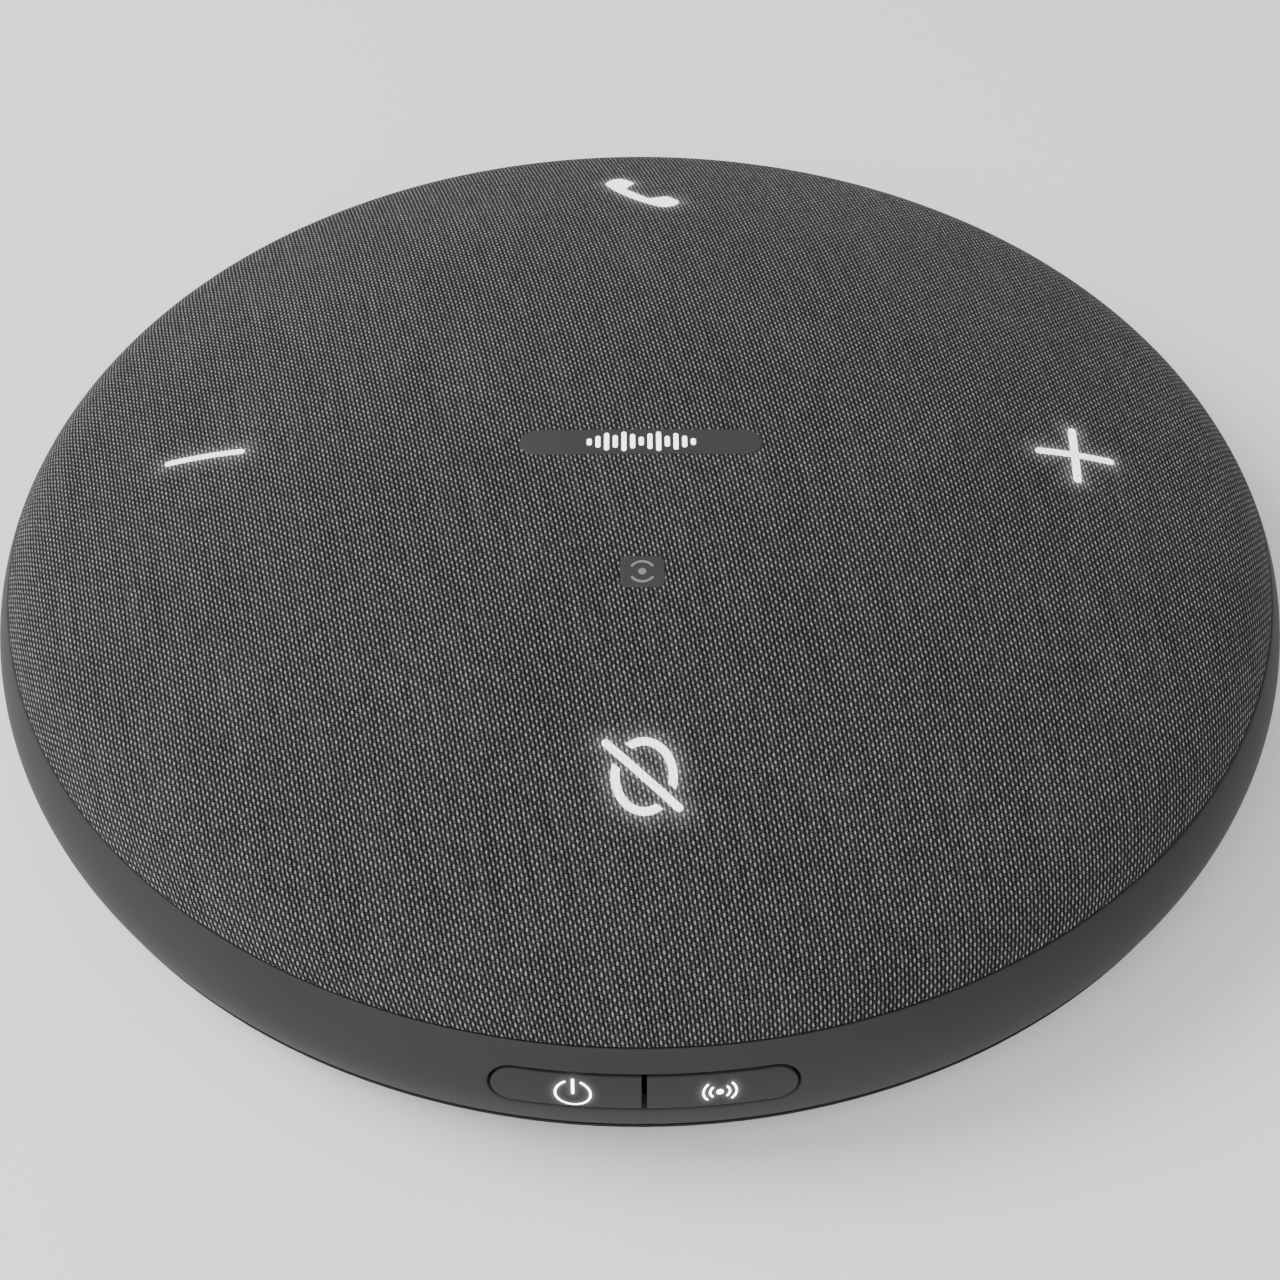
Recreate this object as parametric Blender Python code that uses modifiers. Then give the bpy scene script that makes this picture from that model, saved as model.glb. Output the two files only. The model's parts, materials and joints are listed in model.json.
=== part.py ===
"""Round conference speakerphone: a fabric dome on a barrel-shaped rim, a tapered base and a rubber foot ring.

Units are metres, +Z is up, -Y is the front with the two push buttons, and +Y is the back with the charging
inlet. The origin is on the table, under the centre.
"""

import math

import bmesh
import bpy
from mathutils import Matrix, Vector

MM = 0.001
GAP = 0.3 * MM  # clearance left between pieces that touch
ROUND_STEPS = 48  # facets round the large turned pieces
SMALL_STEPS = 20  # facets round the loudspeaker's pieces

# Outer shape: a shallow crown, a tight shoulder, then the barrel of the rim.
SEAM_RADIUS = 63.5 * MM
SEAM_HEIGHT = 16.5 * MM
CROWN_RADIUS = 155.4 * MM
SHOULDER_RADIUS = 11.6 * MM
SHOULDER_END = math.radians(60.4)  # slope of the dome where it meets the rim
RIM_WIDEST_RADIUS = 65.1 * MM
RIM_WIDEST_DROP = 5.7 * MM  # how far below the seam the rim is widest
RIM_LOWER_TILT = math.radians(28)
RIM_WALL = 1.8 * MM
FABRIC_THICKNESS = 0.7 * MM
GRILLE_WALL = 1.5 * MM

# Base and foot.
BASE_BOTTOM = 1.5 * MM
FLOOR_TOP = 3.6 * MM
FOOT_INNER_RADIUS = 47.0 * MM
FOOT_OUTER_RADIUS = 54.0 * MM
FOOT_GROOVE_TOP = 2.6 * MM
POST_CIRCLE_RADIUS = 40.0 * MM  # the four posts that the base screws go into
POST_RADIUS = 2.6 * MM
SCREW_SHANK_RADIUS = 1.0 * MM
SCREW_HEAD_RADIUS = 2.5 * MM

# Marks in the top: name plate, tap badge and the four lit touch signs.
NAMEPLATE_CENTRE = (0.0, -4.2 * MM)
NAMEPLATE_HALF_SIZE = (11.7 * MM, 1.72 * MM)
BADGE_CENTRE = (0.1 * MM, -21.0 * MM)
BADGE_HALF_SIZE = (2.05 * MM, 1.95 * MM)
SIGN_RADIUS = 43.1 * MM  # the volume signs' distance from the centre
MUTE_CENTRE = (0.25 * MM, -41.9 * MM)
CALL_CENTRE = (0.2 * MM, 45.9 * MM)
SIGN_CLEARANCE = 0.25 * MM

# Front push buttons in the rim.
BUTTON_BAR_HALF_LENGTH = 13.2 * MM
BUTTON_BAR_HALF_HEIGHT = 2.0 * MM
BUTTON_BAR_HEIGHT = 11.95 * MM
BUTTON_BAR_CLEARANCE = 0.25 * MM
BUTTON_HALF_SPLIT = 0.22 * MM
BUTTON_LIGHT_X = 6.2 * MM
SWITCH_X = 10.2 * MM

# Boards.
MAIN_BOARD_BOTTOM = 5.4 * MM
MAIN_BOARD_TOP = 6.6 * MM
BOARD_OUTER_RADIUS = 48.0 * MM
TOUCH_BOARD_BOTTOM = 17.4 * MM
TOUCH_BOARD_TOP = 18.6 * MM
INLET_HEIGHT = 8.5 * MM

SHOULDER_X = SEAM_RADIUS - SHOULDER_RADIUS * math.sin(SHOULDER_END)
SHOULDER_Z = SEAM_HEIGHT - SHOULDER_RADIUS * math.cos(SHOULDER_END)
CROWN_Z = SHOULDER_Z - math.sqrt((CROWN_RADIUS - SHOULDER_RADIUS) ** 2 - SHOULDER_X ** 2)
CROWN_END = math.atan2(SHOULDER_X, SHOULDER_Z - CROWN_Z)
RIM_BULGE = RIM_WIDEST_RADIUS - SEAM_RADIUS
RIM_ARC_RADIUS = (RIM_BULGE ** 2 + RIM_WIDEST_DROP ** 2) / (2 * RIM_BULGE)
RIM_ARC_X = RIM_WIDEST_RADIUS - RIM_ARC_RADIUS
RIM_ARC_Z = SEAM_HEIGHT - RIM_WIDEST_DROP
RIM_UPPER_TILT = math.asin(RIM_WIDEST_DROP / RIM_ARC_RADIUS)


def new_collection(name):
    collection = bpy.data.collections.new(name)
    bpy.context.scene.collection.children.link(collection)
    return collection


def clear_scene():
    for item in list(bpy.data.objects):
        bpy.data.objects.remove(item, do_unlink=True)


clear_scene()
PARTS = new_collection("conference_speakerphone")
CUTTERS = new_collection("cutters")


def finish_material(name, colour, roughness, metallic=0.0):
    material = bpy.data.materials.new(name)
    material.use_nodes = True
    shader = material.node_tree.nodes["Principled BSDF"]
    shader.inputs["Base Color"].default_value = (*colour, 1.0)
    shader.inputs["Roughness"].default_value = roughness
    shader.inputs["Metallic"].default_value = metallic
    material.diffuse_color = (*colour, 1.0)
    return material


def add_part(name, mesh, finish):
    """Put a mesh in the model as a named piece with its own material."""
    piece = bpy.data.objects.new(name, mesh)
    mesh.materials.append(finish_material(name, *finish))
    PARTS.objects.link(piece)
    return piece


def add_cutter(name, mesh):
    cutter = bpy.data.objects.new(name, mesh)
    cutter.hide_render = True
    cutter.display_type = "WIRE"
    CUTTERS.objects.link(cutter)
    return cutter


def combine(piece, other, operation):
    modifier = piece.modifiers.new(other.name, "BOOLEAN")
    modifier.operation = operation
    modifier.solver = "EXACT"
    modifier.object = other


# Finishes: colour, roughness and metallic value.
CHARCOAL_FABRIC = ((0.045, 0.045, 0.047), 0.95)
GREY_PLASTIC = ((0.075, 0.075, 0.077), 0.5)
BLACK_PLASTIC = ((0.015, 0.015, 0.016), 0.55)
NAMEPLATE_GREY = ((0.09, 0.09, 0.092), 0.4)
LIT_WHITE = ((0.85, 0.85, 0.83), 0.35)
BOARD_GREEN = ((0.02, 0.10, 0.05), 0.45)
BLACK_RUBBER = ((0.02, 0.02, 0.02), 0.85)
FERRITE = ((0.06, 0.055, 0.055), 0.7)
COPPER = ((0.72, 0.35, 0.18), 0.3, 1.0)
STEEL = ((0.56, 0.56, 0.58), 0.32, 1.0)
BLACK_FOAM = ((0.03, 0.03, 0.03), 0.98)
PAPER_CONE = ((0.05, 0.05, 0.055), 0.8)
SPIDER_CLOTH = ((0.55, 0.38, 0.12), 0.9)
BATTERY_WRAP = ((0.32, 0.33, 0.36), 0.4)


# Meshes -----------------------------------------------------------------------------------------------------


def mesh_from(name, build):
    """Make a mesh by calling build on an empty bmesh."""
    shape = bmesh.new()
    build(shape)
    mesh = bpy.data.meshes.new(name)
    shape.to_mesh(mesh)
    shape.free()
    return mesh


def add_box(shape, low, high):
    low, high = Vector(low), Vector(high)
    size = high - low
    place = Matrix.Translation((low + high) / 2) @ Matrix.Diagonal((*size, 1.0))
    bmesh.ops.create_cube(shape, size=1.0, matrix=place)


def add_rod(shape, start, end, radius, segments=16):
    """A cylinder between two points."""
    start, end = Vector(start), Vector(end)
    along = end - start
    turn = along.to_track_quat("Z", "Y").to_matrix().to_4x4()
    place = Matrix.Translation((start + end) / 2) @ turn
    bmesh.ops.create_cone(shape, cap_ends=True, segments=segments, radius1=radius, radius2=radius,
                          depth=along.length, matrix=place)


def box_mesh(name, low, high):
    return mesh_from(name, lambda shape: add_box(shape, low, high))


def rod_mesh(name, start, end, radius, segments=16):
    return mesh_from(name, lambda shape: add_rod(shape, start, end, radius, segments))


def turned_mesh(name, profile, closed):
    count = len(profile)
    edges = [(i, i + 1) for i in range(count - 1)]
    if closed:
        edges.append((count - 1, 0))
    mesh = bpy.data.meshes.new(name)
    mesh.from_pydata([(radius, 0.0, height) for radius, height in profile], edges, [])
    return mesh


def turn(piece, steps):
    screw = piece.modifiers.new("turn", "SCREW")
    screw.axis = "Z"
    screw.steps = steps
    screw.render_steps = steps
    screw.use_merge_vertices = True
    screw.merge_threshold = 0.00001
    screw.use_smooth_shade = True
    return piece


def turned_part(name, profile, finish, steps=ROUND_STEPS, closed=True):
    """A turned piece. The profile runs down the outer side; an open one starts and ends on the axis."""
    return turn(add_part(name, turned_mesh(name, profile, closed), finish), steps)


def turned_cutter(name, profile, steps=ROUND_STEPS, closed=True):
    return turn(add_cutter(name, turned_mesh(name, profile, closed)), steps)


def plate_mesh(name, outlines, bottom, top):
    """A flat plate between two heights, cut to the outlines; an inner outline is a hole."""
    curve = bpy.data.curves.new(name, "CURVE")
    curve.dimensions = "2D"
    curve.fill_mode = "BOTH"
    curve.extrude = (top - bottom) / 2
    for outline in outlines:
        spline = curve.splines.new("POLY")
        spline.points.add(len(outline) - 1)
        spline.use_cyclic_u = True
        for point, (x, y) in zip(spline.points, outline):
            point.co = (x, y, 0.0, 1.0)
    guide = bpy.data.objects.new(name, curve)
    CUTTERS.objects.link(guide)
    view = bpy.context.evaluated_depsgraph_get()
    mesh = bpy.data.meshes.new_from_object(guide.evaluated_get(view))
    bpy.data.objects.remove(guide, do_unlink=True)
    shape = bmesh.new()
    shape.from_mesh(mesh)
    bmesh.ops.remove_doubles(shape, verts=shape.verts, dist=0.000001)
    bmesh.ops.recalc_face_normals(shape, faces=shape.faces)
    shape.to_mesh(mesh)
    shape.free()
    mesh.transform(Matrix.Translation((0.0, 0.0, (bottom + top) / 2)))
    mesh.materials.clear()
    return mesh


# Outlines ---------------------------------------------------------------------------------------------------


def arc(centre, radius, start, end, count):
    """Points on an arc, from one angle to another."""
    angles = [start + (end - start) * i / (count - 1) for i in range(count)]
    return [(centre[0] + radius * math.cos(a), centre[1] + radius * math.sin(a)) for a in angles]


def circle(centre, radius, count):
    return arc(centre, radius, 0.0, 2 * math.pi * (count - 1) / count, count)


def oval(centre, half_width, half_height, count=24):
    return [(centre[0] + half_width * x, centre[1] + half_height * y) for x, y in circle((0, 0), 1.0, count)]


def bar_outline(centre, half_length, half_width, angle=0.0, cap_points=6):
    """A straight bar with round ends."""
    reach = half_length - half_width
    points = arc((reach, 0.0), half_width, -math.pi / 2, math.pi / 2, cap_points)
    points += arc((-reach, 0.0), half_width, math.pi / 2, 3 * math.pi / 2, cap_points)
    return turned_points(points, angle, centre)


def turned_points(points, angle, centre):
    cosine, sine = math.cos(angle), math.sin(angle)
    return [(centre[0] + x * cosine - y * sine, centre[1] + x * sine + y * cosine) for x, y in points]


def handset_outline(centre, grow=0.0):
    """A telephone handset seen from the side: a bowed grip with a deeper block at each end."""
    half_length = 5.6 * MM + grow
    lower, upper = [], []
    for i in range(15):
        u = -half_length + 2 * half_length * i / 14
        rise = min(max((abs(u) - 1.9 * MM) / (1.1 * MM), 0.0), 1.0)
        block = rise * rise * (3 - 2 * rise)
        bottom = -2.5 * MM + u * u / (30 * MM) - grow
        top = (-1.15 + 2.1 * block) * MM + grow
        past = max(abs(u) / half_length - 0.82, 0.0) / 0.18
        spread = math.sqrt(max(1 - past * past, 0.0))
        middle = (bottom + top) / 2
        lower.append((u, middle - (middle - bottom) * spread))
        upper.append((u, middle + (top - middle) * spread))
    upper = upper[1:-1]
    return turned_points(lower + upper[::-1], math.atan2(-6.6, 5.6), centre)


def rounded_box_outline(centre, half_width, half_height, corner):
    points = []
    for quarter, (sx, sy) in enumerate(((1, 1), (-1, 1), (-1, -1), (1, -1))):
        middle = (centre[0] + sx * (half_width - corner), centre[1] + sy * (half_height - corner))
        points += arc(middle, corner, quarter * math.pi / 2, (quarter + 1) * math.pi / 2, 4)
    return points


def dome_line(inset, trim=0.0):
    """Section of the dome from the axis to the seam, moved in by inset; trim shortens its lower end."""
    crown_radius = CROWN_RADIUS - inset
    shoulder_radius = SHOULDER_RADIUS - inset
    points = []
    for i in range(4):
        angle = CROWN_END * i / 4
        points.append((crown_radius * math.sin(angle), CROWN_Z + crown_radius * math.cos(angle)))
    last = SHOULDER_END - trim / shoulder_radius
    for i in range(4):
        angle = CROWN_END + (last - CROWN_END) * i / 3
        points.append((SHOULDER_X + shoulder_radius * math.sin(angle),
                       SHOULDER_Z + shoulder_radius * math.cos(angle)))
    return points


def dome_height(radius, inset=0.0):
    return CROWN_Z + math.sqrt((CROWN_RADIUS - inset) ** 2 - radius ** 2)


def dome_shell_profile(outer_inset, inner_inset):
    trim = GAP * 1.15
    return dome_line(outer_inset, trim) + dome_line(inner_inset, trim)[::-1]


def rim_line(inset, count, start=RIM_UPPER_TILT, end=-RIM_LOWER_TILT):
    """Section of the rim's barrel, moved in by inset, from top to bottom."""
    return arc((RIM_ARC_X, RIM_ARC_Z), RIM_ARC_RADIUS - inset, start, end, count)


# Top --------------------------------------------------------------------------------------------------------


def minus_sign(grow=0.0):
    return [bar_outline((-SIGN_RADIUS, 0.0), 4.1 * MM + grow, 0.66 * MM + grow)]


def plus_bar_across(grow=0.0):
    return [bar_outline((SIGN_RADIUS, 0.0), 4.1 * MM + grow, 0.66 * MM + grow)]


def plus_bar_along(grow=0.0):
    return [bar_outline((SIGN_RADIUS, 0.0), 4.1 * MM + grow, 0.66 * MM + grow, math.pi / 2)]


def call_sign(grow=0.0):
    return [handset_outline(CALL_CENTRE, grow)]


def mute_ring(grow=0.0):
    outer = oval(MUTE_CENTRE, 2.95 * MM + grow, 3.6 * MM + grow)
    if grow:
        return [outer]
    return [outer, oval(MUTE_CENTRE, 2.1 * MM, 2.75 * MM)]


def mute_slash(grow=0.0):
    return [bar_outline(MUTE_CENTRE, 4.8 * MM + grow, 0.42 * MM + grow, math.atan2(-6.7, 6.9))]


SIGNS = {
    "volume_down": ([minus_sign], (-SIGN_RADIUS, 0.0), (5.0 * MM, 2.0 * MM), 0.0),
    "volume_up": ([plus_bar_across, plus_bar_along], (SIGN_RADIUS, 0.0), (5.0 * MM, 4.9 * MM), 0.0),
    "call": ([call_sign], CALL_CENTRE, (6.4 * MM, 3.4 * MM), math.atan2(-6.6, 5.6)),
    "mute": ([mute_ring, mute_slash], MUTE_CENTRE, (5.0 * MM, 4.9 * MM), 0.0),
}


def sign_pad(name, grow=0.0):
    """The outline of a light guide's base, which carries its raised sign."""
    _, centre, (half_length, half_width), angle = SIGNS[name]
    return [bar_outline(centre, half_length + grow, half_width + grow, angle, 7)]


def make_dome_body():
    """The solid under the dome's surface, which trims what stands up to it."""
    profile = dome_line(0.0) + [(0.0, SEAM_HEIGHT - 6 * MM)]
    return turned_cutter("dome_body", profile, closed=False)


def make_fabric_cover():
    cover = turned_part("fabric_cover", dome_shell_profile(0.0, FABRIC_THICKNESS), CHARCOAL_FABRIC, closed=False)
    for sign, (strokes, _, _, _) in SIGNS.items():
        for stroke in strokes:
            outlines = stroke(SIGN_CLEARANCE)
            hole = add_cutter("cover_hole_" + stroke.__name__, plate_mesh(sign, outlines, 15 * MM, 40 * MM))
            combine(cover, hole, "DIFFERENCE")
    for name, outline in (("nameplate", nameplate_outline(GAP)), ("badge", badge_outline(GAP))):
        hole = add_cutter("cover_hole_" + name, plate_mesh(name, [outline], 25 * MM, 40 * MM))
        combine(cover, hole, "DIFFERENCE")


def nameplate_outline(grow=0.0):
    half_length, half_width = NAMEPLATE_HALF_SIZE
    return bar_outline(NAMEPLATE_CENTRE, half_length + grow, half_width + grow)


def badge_outline(grow=0.0):
    half_width, half_height = BADGE_HALF_SIZE
    return rounded_box_outline(BADGE_CENTRE, half_width + grow, half_height + grow, 0.7 * MM)


def make_plate_in_cover(name, outline):
    """A thin plate that lies flush in the fabric and follows the crown."""
    plate = add_part(name, plate_mesh(name, [outline], 25 * MM, 40 * MM), NAMEPLATE_GREY)
    band = turned_cutter(name + "_band", dome_shell_profile(0.0, FABRIC_THICKNESS), closed=False)
    combine(plate, band, "INTERSECT")


def slot_mesh():
    """Radial sound slots in three rings, leaving the crown solid behind the name plate and the badge."""
    shape = bmesh.new()
    for ring, (radius, count) in enumerate(((9.5 * MM, 6), (15.5 * MM, 10), (21.5 * MM, 12))):
        for i in range(count):
            angle = 2 * math.pi * (i + 0.5 * (ring % 2)) / count
            x, y = radius * math.cos(angle), radius * math.sin(angle)
            behind_nameplate = abs(x) < 13 * MM and abs(y + 4.2 * MM) < 4 * MM
            behind_badge = abs(x) < 4 * MM and abs(y + 21 * MM) < 5 * MM
            if behind_nameplate or behind_badge:
                continue
            place = Matrix.Translation((x, y, 30 * MM)) @ Matrix.Rotation(angle, 4, "Z")
            place = place @ Matrix.Diagonal((3.4 * MM, 1.8 * MM, 12 * MM, 1.0))
            bmesh.ops.create_cube(shape, size=1.0, matrix=place)
    mesh = bpy.data.meshes.new("sound_slots")
    shape.to_mesh(mesh)
    shape.free()
    return mesh


def post_places():
    return [(POST_CIRCLE_RADIUS * math.cos(a), POST_CIRCLE_RADIUS * math.sin(a))
            for a in (math.pi * (0.25 + 0.5 * i) for i in range(4))]


def posts_mesh(name, radius, bottom, top, segments=12):
    def build(shape):
        for x, y in post_places():
            add_rod(shape, (x, y, bottom), (x, y, top), radius, segments)
    return mesh_from(name, build)


def make_top_grille():
    outer_inset = FABRIC_THICKNESS + GAP
    inner_inset = outer_inset + GRILLE_WALL
    grille = turned_part("top_grille", dome_shell_profile(outer_inset, inner_inset), BLACK_PLASTIC, closed=False)
    middle = (outer_inset + inner_inset) / 2
    post_top = dome_height(POST_CIRCLE_RADIUS, middle)
    posts = add_cutter("grille_posts", posts_mesh("grille_posts", POST_RADIUS, FLOOR_TOP + GAP, post_top))
    combine(grille, posts, "UNION")
    bores = add_cutter("post_bores", posts_mesh("post_bores", SCREW_SHANK_RADIUS + GAP, 0.0, 14 * MM))
    combine(grille, bores, "DIFFERENCE")
    combine(grille, add_cutter("sound_slots", slot_mesh()), "DIFFERENCE")
    for sign in SIGNS:
        hole = add_cutter("grille_hole_" + sign, plate_mesh(sign, sign_pad(sign, GAP), 15 * MM, 40 * MM))
        combine(grille, hole, "DIFFERENCE")


def make_light_guides(dome_body):
    """One clear guide for each touch sign: a pad over the lamp with the sign standing on it."""
    pad_bottom, pad_top = TOUCH_BOARD_TOP + 1.3 * MM, TOUCH_BOARD_TOP + 2.6 * MM
    for sign, (strokes, _, _, _) in SIGNS.items():
        name = sign + "_light_guide"
        guide = add_part(name, plate_mesh(name, sign_pad(sign), pad_bottom, pad_top), LIT_WHITE)
        for stroke in strokes:
            raised = plate_mesh(name, stroke(), pad_top - 0.4 * MM, 40 * MM)
            combine(guide, add_cutter(name + "_" + stroke.__name__, raised), "UNION")
        combine(guide, dome_body, "INTERSECT")


# Rim and buttons --------------------------------------------------------------------------------------------


def facing_front(mesh):
    """Stand a flat plate up, so that its outline faces the front and its thickness runs along Y."""
    mesh.transform(Matrix.Rotation(math.pi / 2, 4, "X"))
    return mesh


def button_bar_mesh(name, grow, near=50 * MM, far=72 * MM):
    """The button bar's outline as a prism through the front of the rim."""
    outline = bar_outline((0.0, BUTTON_BAR_HEIGHT), BUTTON_BAR_HALF_LENGTH + grow,
                          BUTTON_BAR_HALF_HEIGHT + grow, cap_points=8)
    return facing_front(plate_mesh(name, [outline], near, far))


def inlet_outline(half_width, half_height):
    return bar_outline((0.0, INLET_HEIGHT), half_width, half_height)


def make_rim_housing():
    profile = rim_line(0.0, 6) + rim_line(RIM_WALL, 4)[::-1]
    rim = turned_part("rim_housing", profile, GREY_PLASTIC)
    combine(rim, add_cutter("button_opening", button_bar_mesh("button_opening", BUTTON_BAR_CLEARANCE)),
            "DIFFERENCE")
    outline = inlet_outline(4.47 * MM + 0.35 * MM, 1.6 * MM + 0.35 * MM)
    hole = facing_front(plate_mesh("inlet_opening", [outline], -72 * MM, -50 * MM))
    combine(rim, add_cutter("inlet_opening", hole), "DIFFERENCE")


def rim_band(name, outer_inset, inner_inset):
    profile = rim_line(outer_inset, 7) + rim_line(inner_inset, 7)[::-1]
    return turned_cutter(name, profile)


def make_button(name, side):
    """A push button: the cap flush in the rim, and the flange behind the rim that keeps it in."""
    near, far = BUTTON_HALF_SPLIT * side, 20 * MM * side
    half = add_cutter(name + "_half", box_mesh(name, (min(near, far), -80 * MM, 0.0),
                                               (max(near, far), -40 * MM, 30 * MM)))
    cap = add_part(name, button_bar_mesh(name, 0.0), GREY_PLASTIC)
    combine(cap, rim_band(name + "_cap_band", 0.0, 2.9 * MM), "INTERSECT")
    flange = add_cutter(name + "_flange", button_bar_mesh(name + "_flange", 0.8 * MM))
    combine(flange, rim_band(name + "_flange_band", RIM_WALL + GAP, 2.9 * MM), "INTERSECT")
    combine(cap, flange, "UNION")
    combine(cap, half, "INTERSECT")
    light_x = BUTTON_LIGHT_X * side
    pocket = rod_mesh(name + "_pocket", (light_x, -55 * MM, BUTTON_BAR_HEIGHT),
                      (light_x, -64 * MM, BUTTON_BAR_HEIGHT), 1.7 * MM)
    combine(cap, add_cutter(name + "_pocket", pocket), "DIFFERENCE")
    return cap


def make_button_group(name, side):
    """A button with its light guide and the plunger it pushes, on one parent that slides along Y."""
    light_x, switch_x = BUTTON_LIGHT_X * side, SWITCH_X * side
    guide_mesh = rod_mesh(name, (light_x, -59.2 * MM, BUTTON_BAR_HEIGHT),
                          (light_x, -63.7 * MM, BUTTON_BAR_HEIGHT), 1.4 * MM)
    plunger_mesh = rod_mesh(name, (switch_x, -59.2 * MM, BUTTON_BAR_HEIGHT),
                            (switch_x, -60.4 * MM, BUTTON_BAR_HEIGHT), 0.9 * MM, 12)
    pieces = [
        make_button(name + "_button", side),
        add_part(name + "_light_guide", guide_mesh, LIT_WHITE),
        add_part(name + "_switch_plunger", plunger_mesh, LIT_WHITE),
    ]
    slide = bpy.data.objects.new(name + "_slide", None)
    slide.location = (light_x, -64.8 * MM, BUTTON_BAR_HEIGHT)
    PARTS.objects.link(slide)
    for piece in pieces:
        piece.parent = slide
        piece.matrix_parent_inverse = Matrix.Translation(slide.location).inverted()


def make_button_carrier():
    """The frame behind the buttons that the light guides and plungers reach through."""
    carrier = add_part("button_carrier", button_bar_mesh("button_carrier", 1.4 * MM), BLACK_PLASTIC)
    combine(carrier, rim_band("carrier_band", 3.6 * MM, 4.4 * MM), "INTERSECT")
    window = add_cutter("carrier_window", button_bar_mesh("carrier_window", -0.2 * MM))
    combine(carrier, window, "DIFFERENCE")


def make_button_electronics():
    """The upright board behind the buttons, with a switch and a lamp for each."""
    height = BUTTON_BAR_HEIGHT
    add_part("button_board", box_mesh("button_board", (-14 * MM, -57 * MM, height - 3.7 * MM),
                                      (14 * MM, -56 * MM, height + 3.5 * MM)), BOARD_GREEN)
    for name, side in (("power", -1), ("pairing", 1)):
        x = SWITCH_X * side
        body = box_mesh(name, (x - 1.8 * MM, -58.6 * MM, height - 1.6 * MM),
                        (x + 1.8 * MM, -57.3 * MM, height + 1.6 * MM))
        add_part(name + "_switch", body, BLACK_PLASTIC)

        x = BUTTON_LIGHT_X * side
        lamp = box_mesh(name, (x - 0.8 * MM, -58.0 * MM, height - 0.6 * MM),
                        (x + 0.8 * MM, -57.3 * MM, height + 0.6 * MM))
        add_part(name + "_lamp", lamp, LIT_WHITE)


# Base -------------------------------------------------------------------------------------------------------


def board_screw_places():
    return [(44 * MM * math.cos(a), 44 * MM * math.sin(a)) for a in map(math.radians, (65, 115, 270))]


def make_base_shell():
    """The base: a dish whose side tapers in to the foot, with a ring that the sound chamber stands on."""
    lip = 5.3 * MM
    groove_inner, groove_outer = FOOT_INNER_RADIUS - GAP, FOOT_OUTER_RADIUS + GAP
    profile = [
        (0.0, FLOOR_TOP), (18 * MM, FLOOR_TOP), (18 * MM, 6.9 * MM), (22 * MM, 6.9 * MM),
        (22 * MM, FLOOR_TOP), (56.6 * MM, FLOOR_TOP), (61.3 * MM, lip), (63.4 * MM, lip),
        (62.5 * MM, 4.1 * MM), (60.0 * MM, 2.4 * MM), (56.2 * MM, BASE_BOTTOM),
        (groove_outer, BASE_BOTTOM), (groove_outer, FOOT_GROOVE_TOP), (groove_inner, FOOT_GROOVE_TOP),
        (groove_inner, BASE_BOTTOM), (0.0, BASE_BOTTOM),
    ]
    base = turned_part("base_shell", profile, BLACK_PLASTIC, closed=False)

    def build_bosses(shape):
        for x, y in board_screw_places():
            add_rod(shape, (x, y, FLOOR_TOP - 0.5 * MM), (x, y, MAIN_BOARD_BOTTOM - GAP), 2.2 * MM, 12)

    def build_boss_bores(shape):
        for x, y in board_screw_places():
            add_rod(shape, (x, y, FLOOR_TOP - 0.6 * MM), (x, y, 9 * MM), SCREW_SHANK_RADIUS + GAP, 12)
    combine(base, add_cutter("board_bosses", mesh_from("board_bosses", build_bosses)), "UNION")
    combine(base, add_cutter("boss_bores", mesh_from("boss_bores", build_boss_bores)), "DIFFERENCE")
    head_room = posts_mesh("head_room", SCREW_HEAD_RADIUS + GAP, 0.0, 2.9 * MM, 16)
    combine(base, add_cutter("head_room", head_room), "DIFFERENCE")
    shank_room = posts_mesh("shank_room", SCREW_SHANK_RADIUS + GAP, 0.0, 9 * MM)
    combine(base, add_cutter("shank_room", shank_room), "DIFFERENCE")


def make_foot_ring():
    inner, outer, edge = FOOT_INNER_RADIUS, FOOT_OUTER_RADIUS, 0.4 * MM
    top = FOOT_GROOVE_TOP - GAP
    profile = [(outer, top), (outer, edge), (outer - edge, 0.0), (inner + edge, 0.0), (inner, edge), (inner, top)]
    turned_part("foot_ring", profile, BLACK_RUBBER)


def screw_profile(head_radius, head_low, head_high, shank_end, head_up):
    """Half section of a screw; head_up says whether its head is above its shank."""
    shank = SCREW_SHANK_RADIUS
    if head_up:
        return [(0.0, head_high), (head_radius, head_high), (head_radius, head_low), (shank, head_low),
                (shank, shank_end), (0.0, shank_end)]
    return [(0.0, shank_end), (shank, shank_end), (shank, head_high), (head_radius, head_high),
            (head_radius, head_low), (0.0, head_low)]


def make_screws(name, places, profile):
    for number, (x, y) in enumerate(places, 1):
        screw = turned_part(f"{name}_{number}", profile, STEEL, 12, closed=False)
        screw.location = (x, y, 0.0)


def make_all_screws():
    base_profile = screw_profile(SCREW_HEAD_RADIUS, BASE_BOTTOM + 0.1 * MM, FOOT_GROOVE_TOP, 11 * MM, False)
    make_screws("base_screw", post_places(), base_profile)
    board_profile = screw_profile(2.0 * MM, MAIN_BOARD_TOP + GAP, MAIN_BOARD_TOP + 1.2 * MM, 3.5 * MM, True)
    make_screws("board_screw", board_screw_places(), board_profile)


# Loudspeaker ------------------------------------------------------------------------------------------------


def in_mm(*points):
    return [(x * MM, z * MM) for x, z in points]


def speaker_part(name, profile, finish, closed=True):
    return turned_part(name, profile, finish, SMALL_STEPS, closed)


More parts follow.
